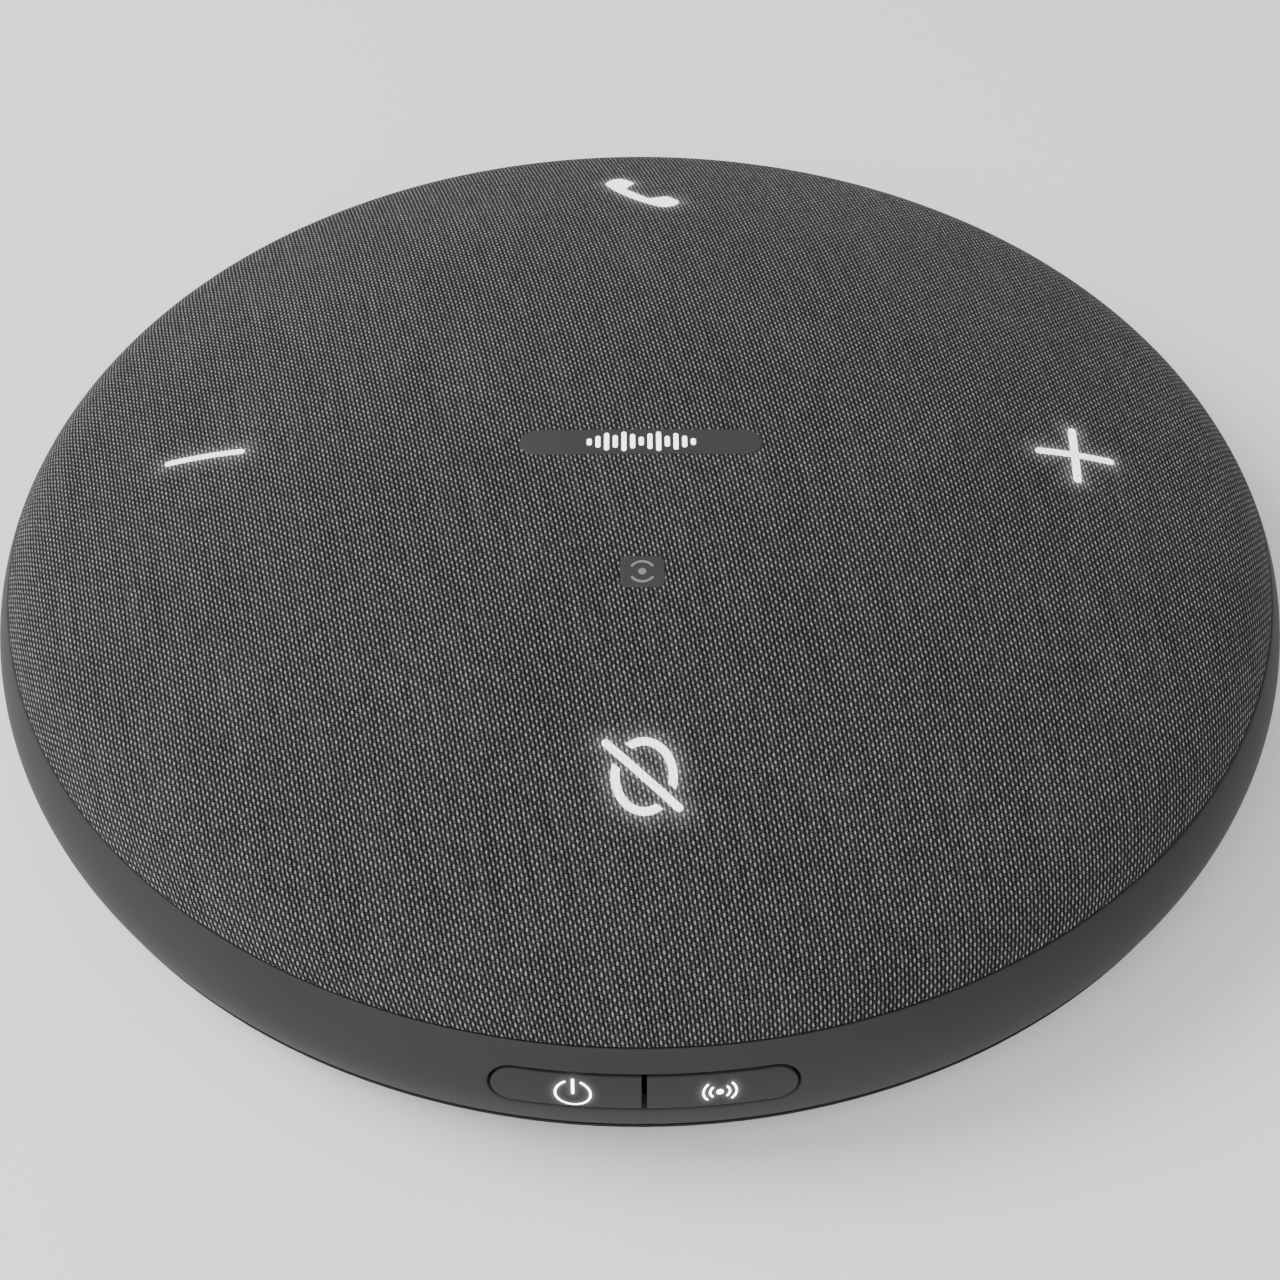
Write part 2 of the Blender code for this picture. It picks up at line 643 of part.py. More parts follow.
def make_speaker_frame():
    """The parts of the loudspeaker that stay still, its sound chamber and its gasket."""
    chamber = in_mm((0, 8.4), (27.6, 8.4), (27.6, 22.3), (29.2, 22.3), (29.2, 7.2), (0, 7.2))
    speaker_part("speaker_chamber", chamber, BLACK_PLASTIC, closed=False)
    yoke = in_mm((0, 14.9), (6.4, 14.9), (6.4, 10.2), (15, 10.2), (15, 8.7), (0, 8.7))
    speaker_part("speaker_yoke", yoke, STEEL, closed=False)
    speaker_part("speaker_magnet", in_mm((16, 13.1), (16, 10.5), (9.5, 10.5), (9.5, 13.1)), FERRITE)
    speaker_part("speaker_top_plate", in_mm((14.5, 14.9), (14.5, 13.4), (8.4, 13.4), (8.4, 14.9)), STEEL)
    basket_profile = in_mm((29.2, 23.8), (29.2, 22.6), (26.6, 22.6), (16.6, 15.2), (9.4, 15.2),
                           (9.4, 16.2), (15.95, 16.2), (24.9, 22.82), (24.9, 23.8))
    basket = speaker_part("speaker_basket", basket_profile, BLACK_PLASTIC)

    def build_windows(shape):
        for i in range(4):
            turn_by = Matrix.Rotation(math.pi * i / 2, 4, "Z")
            place = turn_by @ Matrix.Translation((20.5 * MM, 0.0, 19 * MM))
            place = place @ Matrix.Diagonal((6 * MM, 14 * MM, 12 * MM, 1.0))
            bmesh.ops.create_cube(shape, size=1.0, matrix=place)
    combine(basket, add_cutter("basket_windows", mesh_from("basket_windows", build_windows)), "DIFFERENCE")
    speaker_part("speaker_gasket", in_mm((28.9, 26.8), (28.9, 24.1), (25.3, 24.1), (25.3, 26.8)), BLACK_FOAM)


def arched_strip(inner, outer, base, rise, thickness, waves, count):
    """Half section of a ring-shaped strip that arches or ripples between two radii."""
    top = []
    for i in range(count):
        share = i / (count - 1)
        top.append((inner + (outer - inner) * share, base + rise * math.sin(math.pi * waves * share)))
    bottom = [(radius, height - thickness) for radius, height in top]
    return top + bottom[::-1]


def make_speaker_moving_parts():
    """The cone, dust cap and voice coil, on one parent that slides along Z, and the two springs they hang on."""
    cap_radius, cap_rise, cap_edge = 9.0, 2.1, 20.5
    bend = (cap_radius ** 2 + cap_rise ** 2) / (2 * cap_rise)
    line = [(r, cap_edge + cap_rise - bend + math.sqrt(bend ** 2 - r * r)) for r in (0, 3, 6, cap_radius)]
    cap = in_mm(*line, *[(r, z - 0.4) for r, z in line[::-1]])
    pieces = [
        speaker_part("speaker_cone", in_mm((18.6, 23.4), (18.6, 22.9), (8.4, 19.0), (8.4, 19.5)), PAPER_CONE),
        speaker_part("dust_cap", cap, PAPER_CONE, closed=False),
        speaker_part("voice_coil", in_mm((7.3, 19.3), (7.3, 15.4), (7.9, 15.4), (7.9, 11.8), (6.9, 11.8),
                                         (6.9, 19.3)), COPPER),
    ]
    slide = bpy.data.objects.new("cone_slide", None)
    slide.location = (0.0, 0.0, 19.3 * MM)
    PARTS.objects.link(slide)
    for piece in pieces:
        piece.parent = slide
        piece.matrix_parent_inverse = Matrix.Translation(slide.location).inverted()
    surround = arched_strip(18.95 * MM, 24.5 * MM, 23.3 * MM, 1.4 * MM, 0.4 * MM, 1, 5)
    speaker_part("speaker_surround", surround, BLACK_RUBBER)
    spider = arched_strip(8.3 * MM, 15.4 * MM, 17.3 * MM, 0.35 * MM, 0.4 * MM, 1.5, 7)
    speaker_part("speaker_spider", spider, SPIDER_CLOTH)


# Boards and what is on them ---------------------------------------------------------------------------------


def make_main_board():
    """A ring-shaped board with a tab at the back that carries the charging inlet."""
    tab_half, tab_end = 8 * MM, 60.5 * MM
    start = math.acos(tab_half / BOARD_OUTER_RADIUS)
    rim_points = arc((0, 0), BOARD_OUTER_RADIUS, math.pi - start, 2 * math.pi + start, 41)
    outlines = [rim_points + [(tab_half, tab_end), (-tab_half, tab_end)], circle((0, 0), 24 * MM, 32)]
    outlines += [circle(place, POST_RADIUS + GAP, 10) for place in post_places()]
    outlines += [circle(place, SCREW_SHANK_RADIUS + GAP, 8) for place in board_screw_places()]
    add_part("main_board", plate_mesh("main_board", outlines, MAIN_BOARD_BOTTOM, MAIN_BOARD_TOP), BOARD_GREEN)


def make_touch_board():
    outlines = [circle((0, 0), BOARD_OUTER_RADIUS, 40), circle((0, 0), 35 * MM, 32)]
    outlines += [circle(place, POST_RADIUS + GAP, 10) for place in post_places()]
    add_part("touch_board", plate_mesh("touch_board", outlines, TOUCH_BOARD_BOTTOM, TOUCH_BOARD_TOP), BOARD_GREEN)
    bottom = TOUCH_BOARD_TOP + GAP
    for sign, (_, (x, y), _, _) in SIGNS.items():
        y = min(y, 44 * MM)
        lamp = box_mesh(sign, (x - 1.5 * MM, y - 0.8 * MM, bottom), (x + 1.5 * MM, y + 0.8 * MM, bottom + 0.6 * MM))
        add_part(sign + "_lamp", lamp, LIT_WHITE)


def make_microphones():
    """Four microphones under the shoulder of the grille, each in a rubber boot."""
    places = [(46 * MM * math.cos(a), 46 * MM * math.sin(a)) for a in (math.pi * (0.25 + 0.5 * i) for i in range(4))]
    bottom = TOUCH_BOARD_TOP + GAP
    half, height = 1.3 * MM, 1.1 * MM
    boot_bottom = bottom + height + GAP
    for number, (x, y) in enumerate(places, 1):
        capsule = box_mesh("capsule", (x - half, y - half, bottom), (x + half, y + half, bottom + height))
        add_part(f"microphone_{number}", capsule, STEEL)
        outlines = [circle((x, y), 1.8 * MM, 12), circle((x, y), 0.6 * MM, 8)]
        boot = plate_mesh("boot", outlines, boot_bottom, boot_bottom + 1.8 * MM)
        add_part(f"microphone_boot_{number}", boot, BLACK_RUBBER)


def make_contactless_coil():
    """The flat antenna under the tap badge."""
    centre = (BADGE_CENTRE[0], BADGE_CENTRE[1])
    outlines = [rounded_box_outline(centre, 5.0 * MM, 3.5 * MM, 0.8 * MM),
                rounded_box_outline(centre, 3.4 * MM, 1.9 * MM, 0.5 * MM)]
    add_part("contactless_coil", plate_mesh("contactless_coil", outlines, 27.1 * MM, 27.6 * MM), COPPER)


def make_inlet():
    """The charging and data inlet: a drawn shell with a closed back and a tongue."""
    back, mouth = 57.4 * MM, 64.0 * MM
    body = facing_front(plate_mesh("inlet", [inlet_outline(4.47 * MM, 1.6 * MM)], -mouth, -back))
    inlet = add_part("charging_inlet", body, STEEL)
    hollow = plate_mesh("inlet_hollow", [inlet_outline(4.15 * MM, 1.28 * MM)], -70 * MM, -(back + 0.8 * MM))
    combine(inlet, add_cutter("inlet_hollow", facing_front(hollow)), "DIFFERENCE")
    tongue = box_mesh("inlet_tongue", (-3.35 * MM, back + 0.4 * MM, INLET_HEIGHT - 0.35 * MM),
                      (3.35 * MM, mouth - 1.2 * MM, INLET_HEIGHT + 0.35 * MM))
    combine(inlet, add_cutter("inlet_tongue", tongue), "UNION")


def make_board_pieces():
    base = MAIN_BOARD_TOP + GAP
    shield = add_part("processor_shield", box_mesh("shield", (30.5 * MM, -8 * MM, base),
                                                   (44 * MM, 8 * MM, base + 1.8 * MM)), STEEL)
    round_edges(shield, 0.5 * MM)
    battery = add_part("battery_pack", box_mesh("battery", (-53 * MM, -23 * MM, base),
                                                (-31 * MM, 23 * MM, 15.4 * MM)), BATTERY_WRAP)
    round_edges(battery, 1.5 * MM)
    flex = box_mesh("flex", (45.6 * MM, -5 * MM, base), (46.0 * MM, 5 * MM, TOUCH_BOARD_BOTTOM - GAP))
    add_part("touch_board_flex", flex, ((0.35, 0.18, 0.05), 0.5))


def round_edges(piece, width):
    bevel = piece.modifiers.new("round_edges", "BEVEL")
    bevel.width = width
    bevel.segments = 2


def make_speakerphone():
    dome_body = make_dome_body()
    make_fabric_cover()
    make_plate_in_cover("nameplate", nameplate_outline())
    make_plate_in_cover("tap_badge", badge_outline())
    make_top_grille()
    make_light_guides(dome_body)
    make_rim_housing()
    make_button_group("power", -1)
    make_button_group("pairing", 1)
    make_button_carrier()
    make_button_electronics()
    make_base_shell()
    make_foot_ring()
    make_all_screws()
    make_speaker_frame()
    make_speaker_moving_parts()
    make_main_board()
    make_touch_board()
    make_microphones()
    make_contactless_coil()
    make_inlet()
    make_board_pieces()


make_speakerphone()
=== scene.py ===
"""Looks of the round conference speakerphone: woven cover, lit signs, moulded rim, buttons, base and foot."""

import json
import math

import bmesh
import bpy
import numpy as np
from mathutils import Matrix, Vector
from mathutils.geometry import delaunay_2d_cdt


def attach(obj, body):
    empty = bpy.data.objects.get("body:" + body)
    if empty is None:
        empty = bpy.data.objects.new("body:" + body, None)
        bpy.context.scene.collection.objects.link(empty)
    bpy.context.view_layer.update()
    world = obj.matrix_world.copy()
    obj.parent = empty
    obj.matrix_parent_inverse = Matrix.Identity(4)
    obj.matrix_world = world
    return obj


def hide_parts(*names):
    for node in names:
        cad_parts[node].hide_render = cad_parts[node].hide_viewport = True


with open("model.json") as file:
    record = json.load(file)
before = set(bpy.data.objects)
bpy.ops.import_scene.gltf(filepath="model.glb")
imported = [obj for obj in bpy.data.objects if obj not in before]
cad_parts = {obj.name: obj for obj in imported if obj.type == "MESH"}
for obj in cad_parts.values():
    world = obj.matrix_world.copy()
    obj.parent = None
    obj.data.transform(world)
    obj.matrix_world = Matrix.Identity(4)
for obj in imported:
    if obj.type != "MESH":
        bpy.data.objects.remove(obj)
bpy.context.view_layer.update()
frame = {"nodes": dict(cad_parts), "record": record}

MM = 0.001
TAU = 2 * math.pi
WHITE = (1.0, 1.0, 1.0, 1.0)

# Section of the object: a shallow crown, a tight shoulder, then the barrel of the rim.
SEAM_RADIUS = 63.5 * MM
SEAM_HEIGHT = 16.5 * MM
CROWN_RADIUS = 155.4 * MM
SHOULDER_RADIUS = 11.6 * MM
SHOULDER_END = math.radians(60.4)
RIM_WIDEST_RADIUS = 65.1 * MM
RIM_WIDEST_DROP = 5.7 * MM
RIM_LOWER_TILT = math.radians(28)
SHOULDER_X = SEAM_RADIUS - SHOULDER_RADIUS * math.sin(SHOULDER_END)
SHOULDER_Z = SEAM_HEIGHT - SHOULDER_RADIUS * math.cos(SHOULDER_END)
CROWN_Z = SHOULDER_Z - math.sqrt((CROWN_RADIUS - SHOULDER_RADIUS) ** 2 - SHOULDER_X ** 2)
CROWN_END = math.atan2(SHOULDER_X, SHOULDER_Z - CROWN_Z)
CROWN_ARC = CROWN_RADIUS * CROWN_END
CLOTH_RADIUS = CROWN_ARC + SHOULDER_RADIUS * (SHOULDER_END - CROWN_END)
RIM_BULGE = RIM_WIDEST_RADIUS - SEAM_RADIUS
RIM_ARC = (RIM_BULGE ** 2 + RIM_WIDEST_DROP ** 2) / (2 * RIM_BULGE)
RIM_ARC_X = RIM_WIDEST_RADIUS - RIM_ARC
RIM_ARC_Z = SEAM_HEIGHT - RIM_WIDEST_DROP
RIM_UPPER_TILT = math.asin(RIM_WIDEST_DROP / RIM_ARC)
SEAM_GAP = 0.12 * MM

# Weave: the threads' pitches, how far each set is turned from the object's axes, and how far it fans out.
WARP_PITCH = 0.410 * MM
WEFT_PITCH = 0.377 * MM
WARP_TURN = math.radians(10.3)
WEFT_TURN = math.radians(7.5)
WARP_FAN = 1.4 / WARP_PITCH
WARP_SPREAD = 0.4 / WARP_PITCH
THREAD_WANDER = 0.16 * MM

# Marks and buttons.
SIGN_RADIUS = 43.1 * MM
MUTE_CENTRE = (0.12 * MM, -42.05 * MM)
SLASH_CENTRE = (-0.06 * MM, -41.95 * MM)
CALL_CENTRE = (0.77 * MM, 45.3 * MM)
NAMEPLATE_CENTRE = (0.1 * MM, -4.52 * MM)
NAMEPLATE_HALF = (11.7 * MM, 1.72 * MM)
PLATE_BOW = 0.36 * MM
SIGN_HALF = 4.1 * MM
SIGN_STEP = 0.5 * MM
SIGN_SKEW = 0.085
SIGN_BOW = 0.15 * MM
SIGN_LEAN = 0.05
BADGE_CENTRE = (0.1 * MM, -21.0 * MM)
BADGE_HALF = (2.05 * MM, 1.8 * MM)
PLATE_GAP = 0.02 * MM
BUTTON_HEIGHT = 11.95 * MM
BUTTON_HALF_LENGTH = 13.2 * MM
BUTTON_HALF_HEIGHT = 2.0 * MM
BUTTON_GAP = 0.25 * MM
BUTTON_SPLIT = 0.22 * MM
POWER_SIGN_X = -6.1 * MM
PAIRING_SIGN_X = 6.45 * MM
INLET_HEIGHT = 8.5 * MM
SCREW_CIRCLE = 40.0 * MM


# --- Camera, floor and lights ---


def new_object(name, data):
    """An object that shows data, put in the scene."""
    item = bpy.data.objects.new(name, data)
    bpy.context.scene.collection.objects.link(item)
    return item


def make_camera():
    """A 70 mm lens 43 degrees above the seam, a third of a degree round from the front."""
    turn = math.radians(-0.33)
    distance, elevation, pitch = 254.0 * MM, math.radians(43.37), math.radians(45.88)
    reach = -distance * math.cos(elevation)
    data = bpy.data.cameras.new("camera")
    data.lens = 70.0
    data.sensor_width = 36.0
    data.clip_start = 0.01
    camera = new_object("camera", data)
    height = SEAM_HEIGHT + distance * math.sin(elevation)
    camera.location = (-reach * math.sin(turn), reach * math.cos(turn), height)
    camera.rotation_euler = (math.pi / 2 - pitch, 0.0, turn)
    bpy.context.scene.camera = camera


def make_light(name, place, aim, size, power):
    """A plain white softbox that faces aim."""
    data = bpy.data.lights.new(name, "AREA")
    data.shape = "RECTANGLE"
    data.size, data.size_y = size
    data.energy = power
    light = new_object(name, data)
    light.location = place
    light.rotation_euler = (Vector(aim) - Vector(place)).to_track_quat("-Z", "Y").to_euler()


def make_studio():
    """An even grey sky, a key light from the left, a fill from the front, and the floor."""
    world = bpy.data.worlds.new("studio")
    bpy.context.scene.world = world
    world.use_nodes = True
    background = world.node_tree.nodes["Background"]
    background.inputs["Color"].default_value = WHITE
    background.inputs["Strength"].default_value = 0.5
    middle = (0.0, 0.0, 0.015)
    make_light("key", (-0.58, 0.03, 0.58), middle, (0.5, 0.5), 7.5)
    make_light("front", (-0.12, -0.56, 0.60), middle, (0.7, 0.5), 4.0)
    mesh = bpy.data.meshes.new("floor")
    half = 12.0
    corners = [(-half, -half, 0), (half, -half, 0), (half, half, 0), (-half, half, 0)]
    mesh.from_pydata(corners, [], [(0, 1, 2, 3)])
    floor = new_object("floor", mesh)
    mesh.materials.append(floor_material())


# --- Node materials ---


class Nodes:
    """A material's node tree, with short calls for the nodes used here."""

    def __init__(self, name):
        self.material = bpy.data.materials.new(name)
        self.material.use_nodes = True
        self.tree = self.material.node_tree
        self.shader = self.tree.nodes["Principled BSDF"]

    def put(self, socket, value):
        """Link an output to a socket, or set the socket's own value."""
        if isinstance(value, bpy.types.NodeSocket):
            self.tree.links.new(value, socket)
        elif value is not None:
            socket.default_value = value

    def set(self, **values):
        """Set the shader's own sockets; the names use _ for a space."""
        for name, value in values.items():
            self.put(self.shader.inputs[name.replace("_", " ")], value)

    def add(self, kind, inputs=(), **settings):
        """A new node with its settings, and with values or links for the inputs named."""
        node = self.tree.nodes.new(kind)
        for name, value in settings.items():
            setattr(node, name, value)
        for key, value in dict(inputs).items():
            self.put(node.inputs[key], value)
        return node

    def math(self, operation, first, second=None, third=None):
        node = self.add("ShaderNodeMath", operation=operation)
        for socket, value in zip(node.inputs, (first, second, third)):
            self.put(socket, value)
        return node.outputs[0]

    def vector(self, operation, inputs):
        return self.add("ShaderNodeVectorMath", inputs, operation=operation)

    def mix(self, share, first, second):
        node = self.add("ShaderNodeMix", data_type="RGBA")
        self.put(node.inputs[0], share)
        self.put(node.inputs[6], first)
        self.put(node.inputs[7], second)
        return node.outputs[2]

    def grey(self, value):
        node = self.add("ShaderNodeCombineColor")
        for socket in node.inputs:
            self.put(socket, value)
        return node.outputs[0]

    def noise(self, place, scale, detail=2.0, roughness=0.5):
        inputs = {"Vector": place, "Scale": scale, "Detail": detail, "Roughness": roughness}
        return self.add("ShaderNodeTexNoise", inputs).outputs["Fac"]

    def span(self, value, low, high, new_low, new_high, kind="LINEAR"):
        inputs = {"Value": value, "From Min": low, "From Max": high, "To Min": new_low, "To Max": new_high}
        return self.add("ShaderNodeMapRange", inputs, interpolation_type=kind).outputs["Result"]

    def attribute(self, name):
        return self.add("ShaderNodeAttribute", attribute_name=name)

    def object_place(self):
        return self.add("ShaderNodeTexCoord").outputs["Object"]

    def bump(self, height, distance, strength):
        inputs = {"Height": height, "Distance": distance, "Strength": strength}
        self.set(Normal=self.add("ShaderNodeBump", inputs).outputs[0])


def rgb(colour, share=1.0):
    """A socket's colour, darkened or lightened by share."""
    return (*(share * part for part in colour), 1.0)


def floor_material():
    """A white table lit a little from below."""
    nodes = Nodes("floor_white")
    nodes.set(Base_Color=rgb((0.9, 0.9, 0.9)), Roughness=0.7, Specular_IOR_Level=0.1)
    nodes.set(Emission_Color=WHITE, Emission_Strength=0.15)
    return nodes.material


def weave(nodes):
    """A plain weave of warp floats over weft.

    It gives the relief, from 0 in the gaps to 1, a chance value for each float, and the place in threads.
    """
    flat = nodes.attribute("flat").outputs["Vector"]
    wander = nodes.add("ShaderNodeTexNoise", {"Vector": flat, "Scale": 900.0, "Detail": 1.0}).outputs["Color"]
    pull = nodes.vector("SUBTRACT", {0: wander, 1: (0.5, 0.5, 0.5)}).outputs[0]
    pull = nodes.vector("SCALE", {0: pull, 3: THREAD_WANDER}).outputs[0]
    place = nodes.vector("ADD", {0: flat, 1: pull}).outputs[0]
    warp_axis = (math.cos(WARP_TURN) / WARP_PITCH, math.sin(WARP_TURN) / WARP_PITCH, 0.0)
    weft_axis = (-math.sin(WEFT_TURN) / WEFT_PITCH, math.cos(WEFT_TURN) / WEFT_PITCH, 0.0)
    across = nodes.vector("DOT_PRODUCT", {0: place, 1: warp_axis}).outputs["Value"]
    along = nodes.vector("DOT_PRODUCT", {0: place, 1: weft_axis}).outputs["Value"]
    x, y = nodes.add("ShaderNodeSeparateXYZ", {0: place}).outputs[:2]
    drift = nodes.math("ADD", nodes.math("MULTIPLY", y, WARP_FAN), nodes.math("MULTIPLY", x, WARP_SPREAD))
    across = nodes.math("SUBTRACT", across, nodes.math("MULTIPLY", x, drift))

    def wave(value, turns):
        return nodes.math("COSINE", nodes.math("MULTIPLY", value, TAU * turns))

    threads = wave(across, 1.0)
    crossings = nodes.math("MULTIPLY", wave(across, 0.5), wave(along, 0.5))
    picks = wave(along, 1.0)
    swell = nodes.math("MULTIPLY_ADD", threads, 0.29, 0.34)
    swell = nodes.math("MULTIPLY_ADD", crossings, 0.37, swell)

    def ramp(value, low, high):
        return nodes.span(value, low, high, 0.0, 1.0, "SMOOTHSTEP")

    warp = nodes.math("MULTIPLY", ramp(crossings, -0.6, 0.45), ramp(threads, -0.25, 0.95))
    weft = nodes.math("MULTIPLY", ramp(picks, -0.6, 0.7), ramp(crossings, 0.6, -0.6))
    weft = nodes.math("MULTIPLY", weft, nodes.math("SUBTRACT", 1.0, warp))
    strands = nodes.math("MULTIPLY_ADD", weft, 0.54, warp)
    height = nodes.math("ADD", nodes.math("MULTIPLY", swell, 0.56), nodes.math("MULTIPLY", strands, 0.44))
    cell = nodes.add("ShaderNodeCombineXYZ", {0: nodes.math("ROUND", across), 1: nodes.math("ROUND", along)})
    chance = nodes.add("ShaderNodeTexWhiteNoise", {"Vector": cell.outputs[0]}, noise_dimensions="2D")
    place = nodes.add("ShaderNodeCombineXYZ", {0: across, 1: along})
    return height, chance.outputs["Value"], place.outputs[0]


def cloth_material():
    """Light warp floats over darker weft, painted shade darkening the gaps, stray fibres, and a glow round
    the lit signs.
    """
    nodes = Nodes("woven_cloth")
    height, chance, place = weave(nodes)
    fibres = nodes.noise(place, 2.6, 3.0, 0.65)
    lots = nodes.add("ShaderNodeMapping", {"Vector": place, "Scale": (0.9, 0.02, 1.0)}).outputs[0]
    lots = nodes.noise(lots, 1.0, 2.0)
    patches = nodes.noise(nodes.attribute("flat").outputs["Vector"], 60.0, 2.0)
    # Painted shade: the colour follows the relief, darkest where it is low, in the gaps between threads.
    tone = nodes.math("MULTIPLY_ADD", height, 0.48, 0.02)
    tone = nodes.math("MULTIPLY", tone, nodes.span(chance, 0.0, 1.0, 0.84, 1.16))
    tone = nodes.math("ADD", tone, nodes.span(lots, 0.3, 0.7, -0.02, 0.02))
    tone = nodes.math("ADD", tone, nodes.span(fibres, 0.25, 0.75, -0.08, 0.08))
    tone = nodes.math("ADD", tone, nodes.span(patches, 0.3, 0.7, -0.008, 0.008))
    tone = nodes.math("MAXIMUM", tone, 0.02)
    reflect = nodes.math("POWER", tone, 1.87)
    nodes.set(Base_Color=nodes.grey(reflect), Roughness=0.88, Sheen_Weight=0.04, Sheen_Roughness=0.5)
    nodes.set(Specular_IOR_Level=0.12)
    relief = nodes.math("MULTIPLY_ADD", fibres, 0.35, height)
    nodes.bump(relief, 0.00008, 0.9)
    glow = nodes.attribute("glow").outputs["Fac"]
    lit = nodes.math("MULTIPLY", glow, nodes.math("MULTIPLY_ADD", tone, 1.6, 0.12))
    nodes.set(Emission_Color=WHITE, Emission_Strength=lit)
    return nodes.material


def moulded_material(name, colour, roughness, grain_size, grain_depth, shine=0.3, glow=False):
    """Moulded plastic with a fine spark-eroded grain, faint flow marks and a slightly uneven gloss."""
    nodes = Nodes(name)
    place = nodes.object_place()
    grain = nodes.noise(place, 1.0 / grain_size, 2.0, 0.6)
    speck = nodes.noise(place, 2.7 / grain_size, 1.0)
    flow = nodes.noise(place, 45.0, 3.0)
    shade = nodes.span(flow, 0.3, 0.7, 0.0, 1.0)
    tinted = nodes.mix(shade, rgb(colour, 0.93), rgb(colour, 1.07))
    tinted = nodes.mix(nodes.span(speck, 0.55, 0.8, 0.0, 0.5), tinted, rgb(colour, 1.35))
    nodes.set(Base_Color=tinted, Roughness=nodes.span(grain, 0.3, 0.7, roughness - 0.05, roughness + 0.05))
    nodes.set(Specular_IOR_Level=shine)
    nodes.bump(grain, grain_depth, 0.6)
    if glow:
        nodes.set(Emission_Color=WHITE, Emission_Strength=nodes.attribute("glow").outputs["Fac"])
    return nodes.material


def sign_material(name, strength, shown):
    """Lit translucent film; shown is how far the cloth's weave shows through."""
    nodes = Nodes(name)
    height, chance, place = weave(nodes)
    mottle = nodes.noise(place, 1.2, 2.0)
    shade = nodes.math("MULTIPLY_ADD", chance, 0.2, height)
    tone = nodes.span(shade, 0.0, 1.2, 1.0 - shown, 1.0)
    tone = nodes.math("SUBTRACT", tone, nodes.math("MULTIPLY", mottle, 0.05))
    nodes.set(Base_Color=nodes.grey(nodes.math("MULTIPLY", tone, 0.8)), Roughness=0.5)
    nodes.set(Emission_Color=nodes.grey(tone), Emission_Strength=strength)
    nodes.bump(height, 0.00003, shown)
    return nodes.material


def rubber_material(name, colour):
    """Matt rubber with a fine grain and dusty patches."""
    nodes = Nodes(name)
    place = nodes.object_place()
    grain = nodes.noise(place, 2200.0, 3.0, 0.7)
    wear = nodes.noise(place, 70.0, 3.0)
    nodes.set(Base_Color=nodes.mix(nodes.span(wear, 0.45, 0.75, 0.0, 0.6), rgb(colour), rgb(colour, 1.8)))
    nodes.set(Roughness=nodes.span(grain, 0.3, 0.7, 0.75, 0.95), Specular_IOR_Level=0.3)
    nodes.bump(grain, 0.00004, 0.6)
    return nodes.material


def metal_material(name, colour, roughness, stretch):
    """Plated or drawn metal with fine lines along one axis."""
    nodes = Nodes(name)
    place = nodes.add("ShaderNodeMapping", {"Vector": nodes.object_place(), "Scale": stretch}).outputs[0]
    lines = nodes.noise(place, 900.0, 3.0)
    stain = nodes.noise(nodes.object_place(), 150.0, 2.0)
    nodes.set(Base_Color=nodes.mix(stain, rgb(colour, 0.8), rgb(colour)), Metallic=1.0)
    nodes.set(Roughness=nodes.span(lines, 0.3, 0.7, roughness - 0.06, roughness + 0.08))
    nodes.bump(lines, 0.00001, 0.5)
    return nodes.material


def board_material(name, mask, track):
    """Solder mask over copper tracks."""
    nodes = Nodes(name)
    place = nodes.object_place()
    cells = nodes.add("ShaderNodeTexVoronoi", {"Vector": place, "Scale": 700.0}, feature="DISTANCE_TO_EDGE")
    tracks = nodes.span(cells.outputs["Distance"], 0.05, 0.09, 1.0, 0.0)
    nodes.set(Base_Color=nodes.mix(tracks, rgb(mask), rgb(track)), Roughness=0.35, Coat_Weight=0.3)
    nodes.bump(tracks, 0.00003, 0.5)
    return nodes.material


def pressed_material(name, colour, roughness, scale, depth):
    """Paper, foam or cloth seen only inside: coarse fibres and pores."""
    nodes = Nodes(name)
    place = nodes.object_place()
    fibres = nodes.noise(place, scale, 4.0, 0.7)
    nodes.set(Base_Color=nodes.mix(nodes.span(fibres, 0.3, 0.7, 0.0, 1.0), rgb(colour, 0.6), rgb(colour)))
    nodes.set(Roughness=roughness)
    nodes.bump(fibres, depth, 0.8)
    return nodes.material


# --- Flat outlines ---


def arc(centre, radius, start, end, count):
    """Points along a circle's arc, from one angle to another."""
    angles = np.linspace(start, end, count)
    return np.column_stack((centre[0] + radius * np.cos(angles), centre[1] + radius * np.sin(angles)))


def closed_arc(centre, radius, count):
    return arc(centre, radius, 0.0, TAU, count + 1)[:-1]


def turned(points, angle, centre=(0.0, 0.0)):
    """Points turned about the origin, then moved to centre."""
    cosine, sine = math.cos(angle), math.sin(angle)
    return np.asarray(points) @ np.array([[cosine, sine], [-sine, cosine]]) + np.asarray(centre)


def spaced(outline, step):
    """A closed outline with its long sides divided, so that no side is longer than step."""
    points = []
    for here, there in zip(outline, np.roll(outline, -1, axis=0)):
        parts = max(1, math.ceil(np.hypot(*(there - here)) / step))
        points += [here + (there - here) * i / parts for i in range(parts)]
    return np.array(points)


def grown(outline, distance):
    """A closed anticlockwise outline moved outwards along its corners' normals."""
    back = outline - np.roll(outline, 1, axis=0)
    ahead = np.roll(outline, -1, axis=0) - outline
    out = np.column_stack((back[:, 1], -back[:, 0])) / np.hypot(*back.T)[:, None]
    out += np.column_stack((ahead[:, 1], -ahead[:, 0])) / np.hypot(*ahead.T)[:, None]
    out /= np.maximum(np.hypot(*out.T)[:, None], 1e-9)
    return outline + out * distance


def bar(centre, half_length, half_width, angle=0.0, cap=10):
    """A bar with round ends."""
    reach = half_length - half_width
    ends = [arc((reach, 0), half_width, -math.pi / 2, math.pi / 2, cap),
            arc((-reach, 0), half_width, math.pi / 2, 3 * math.pi / 2, cap)]
    return turned(np.vstack(ends), angle, centre)


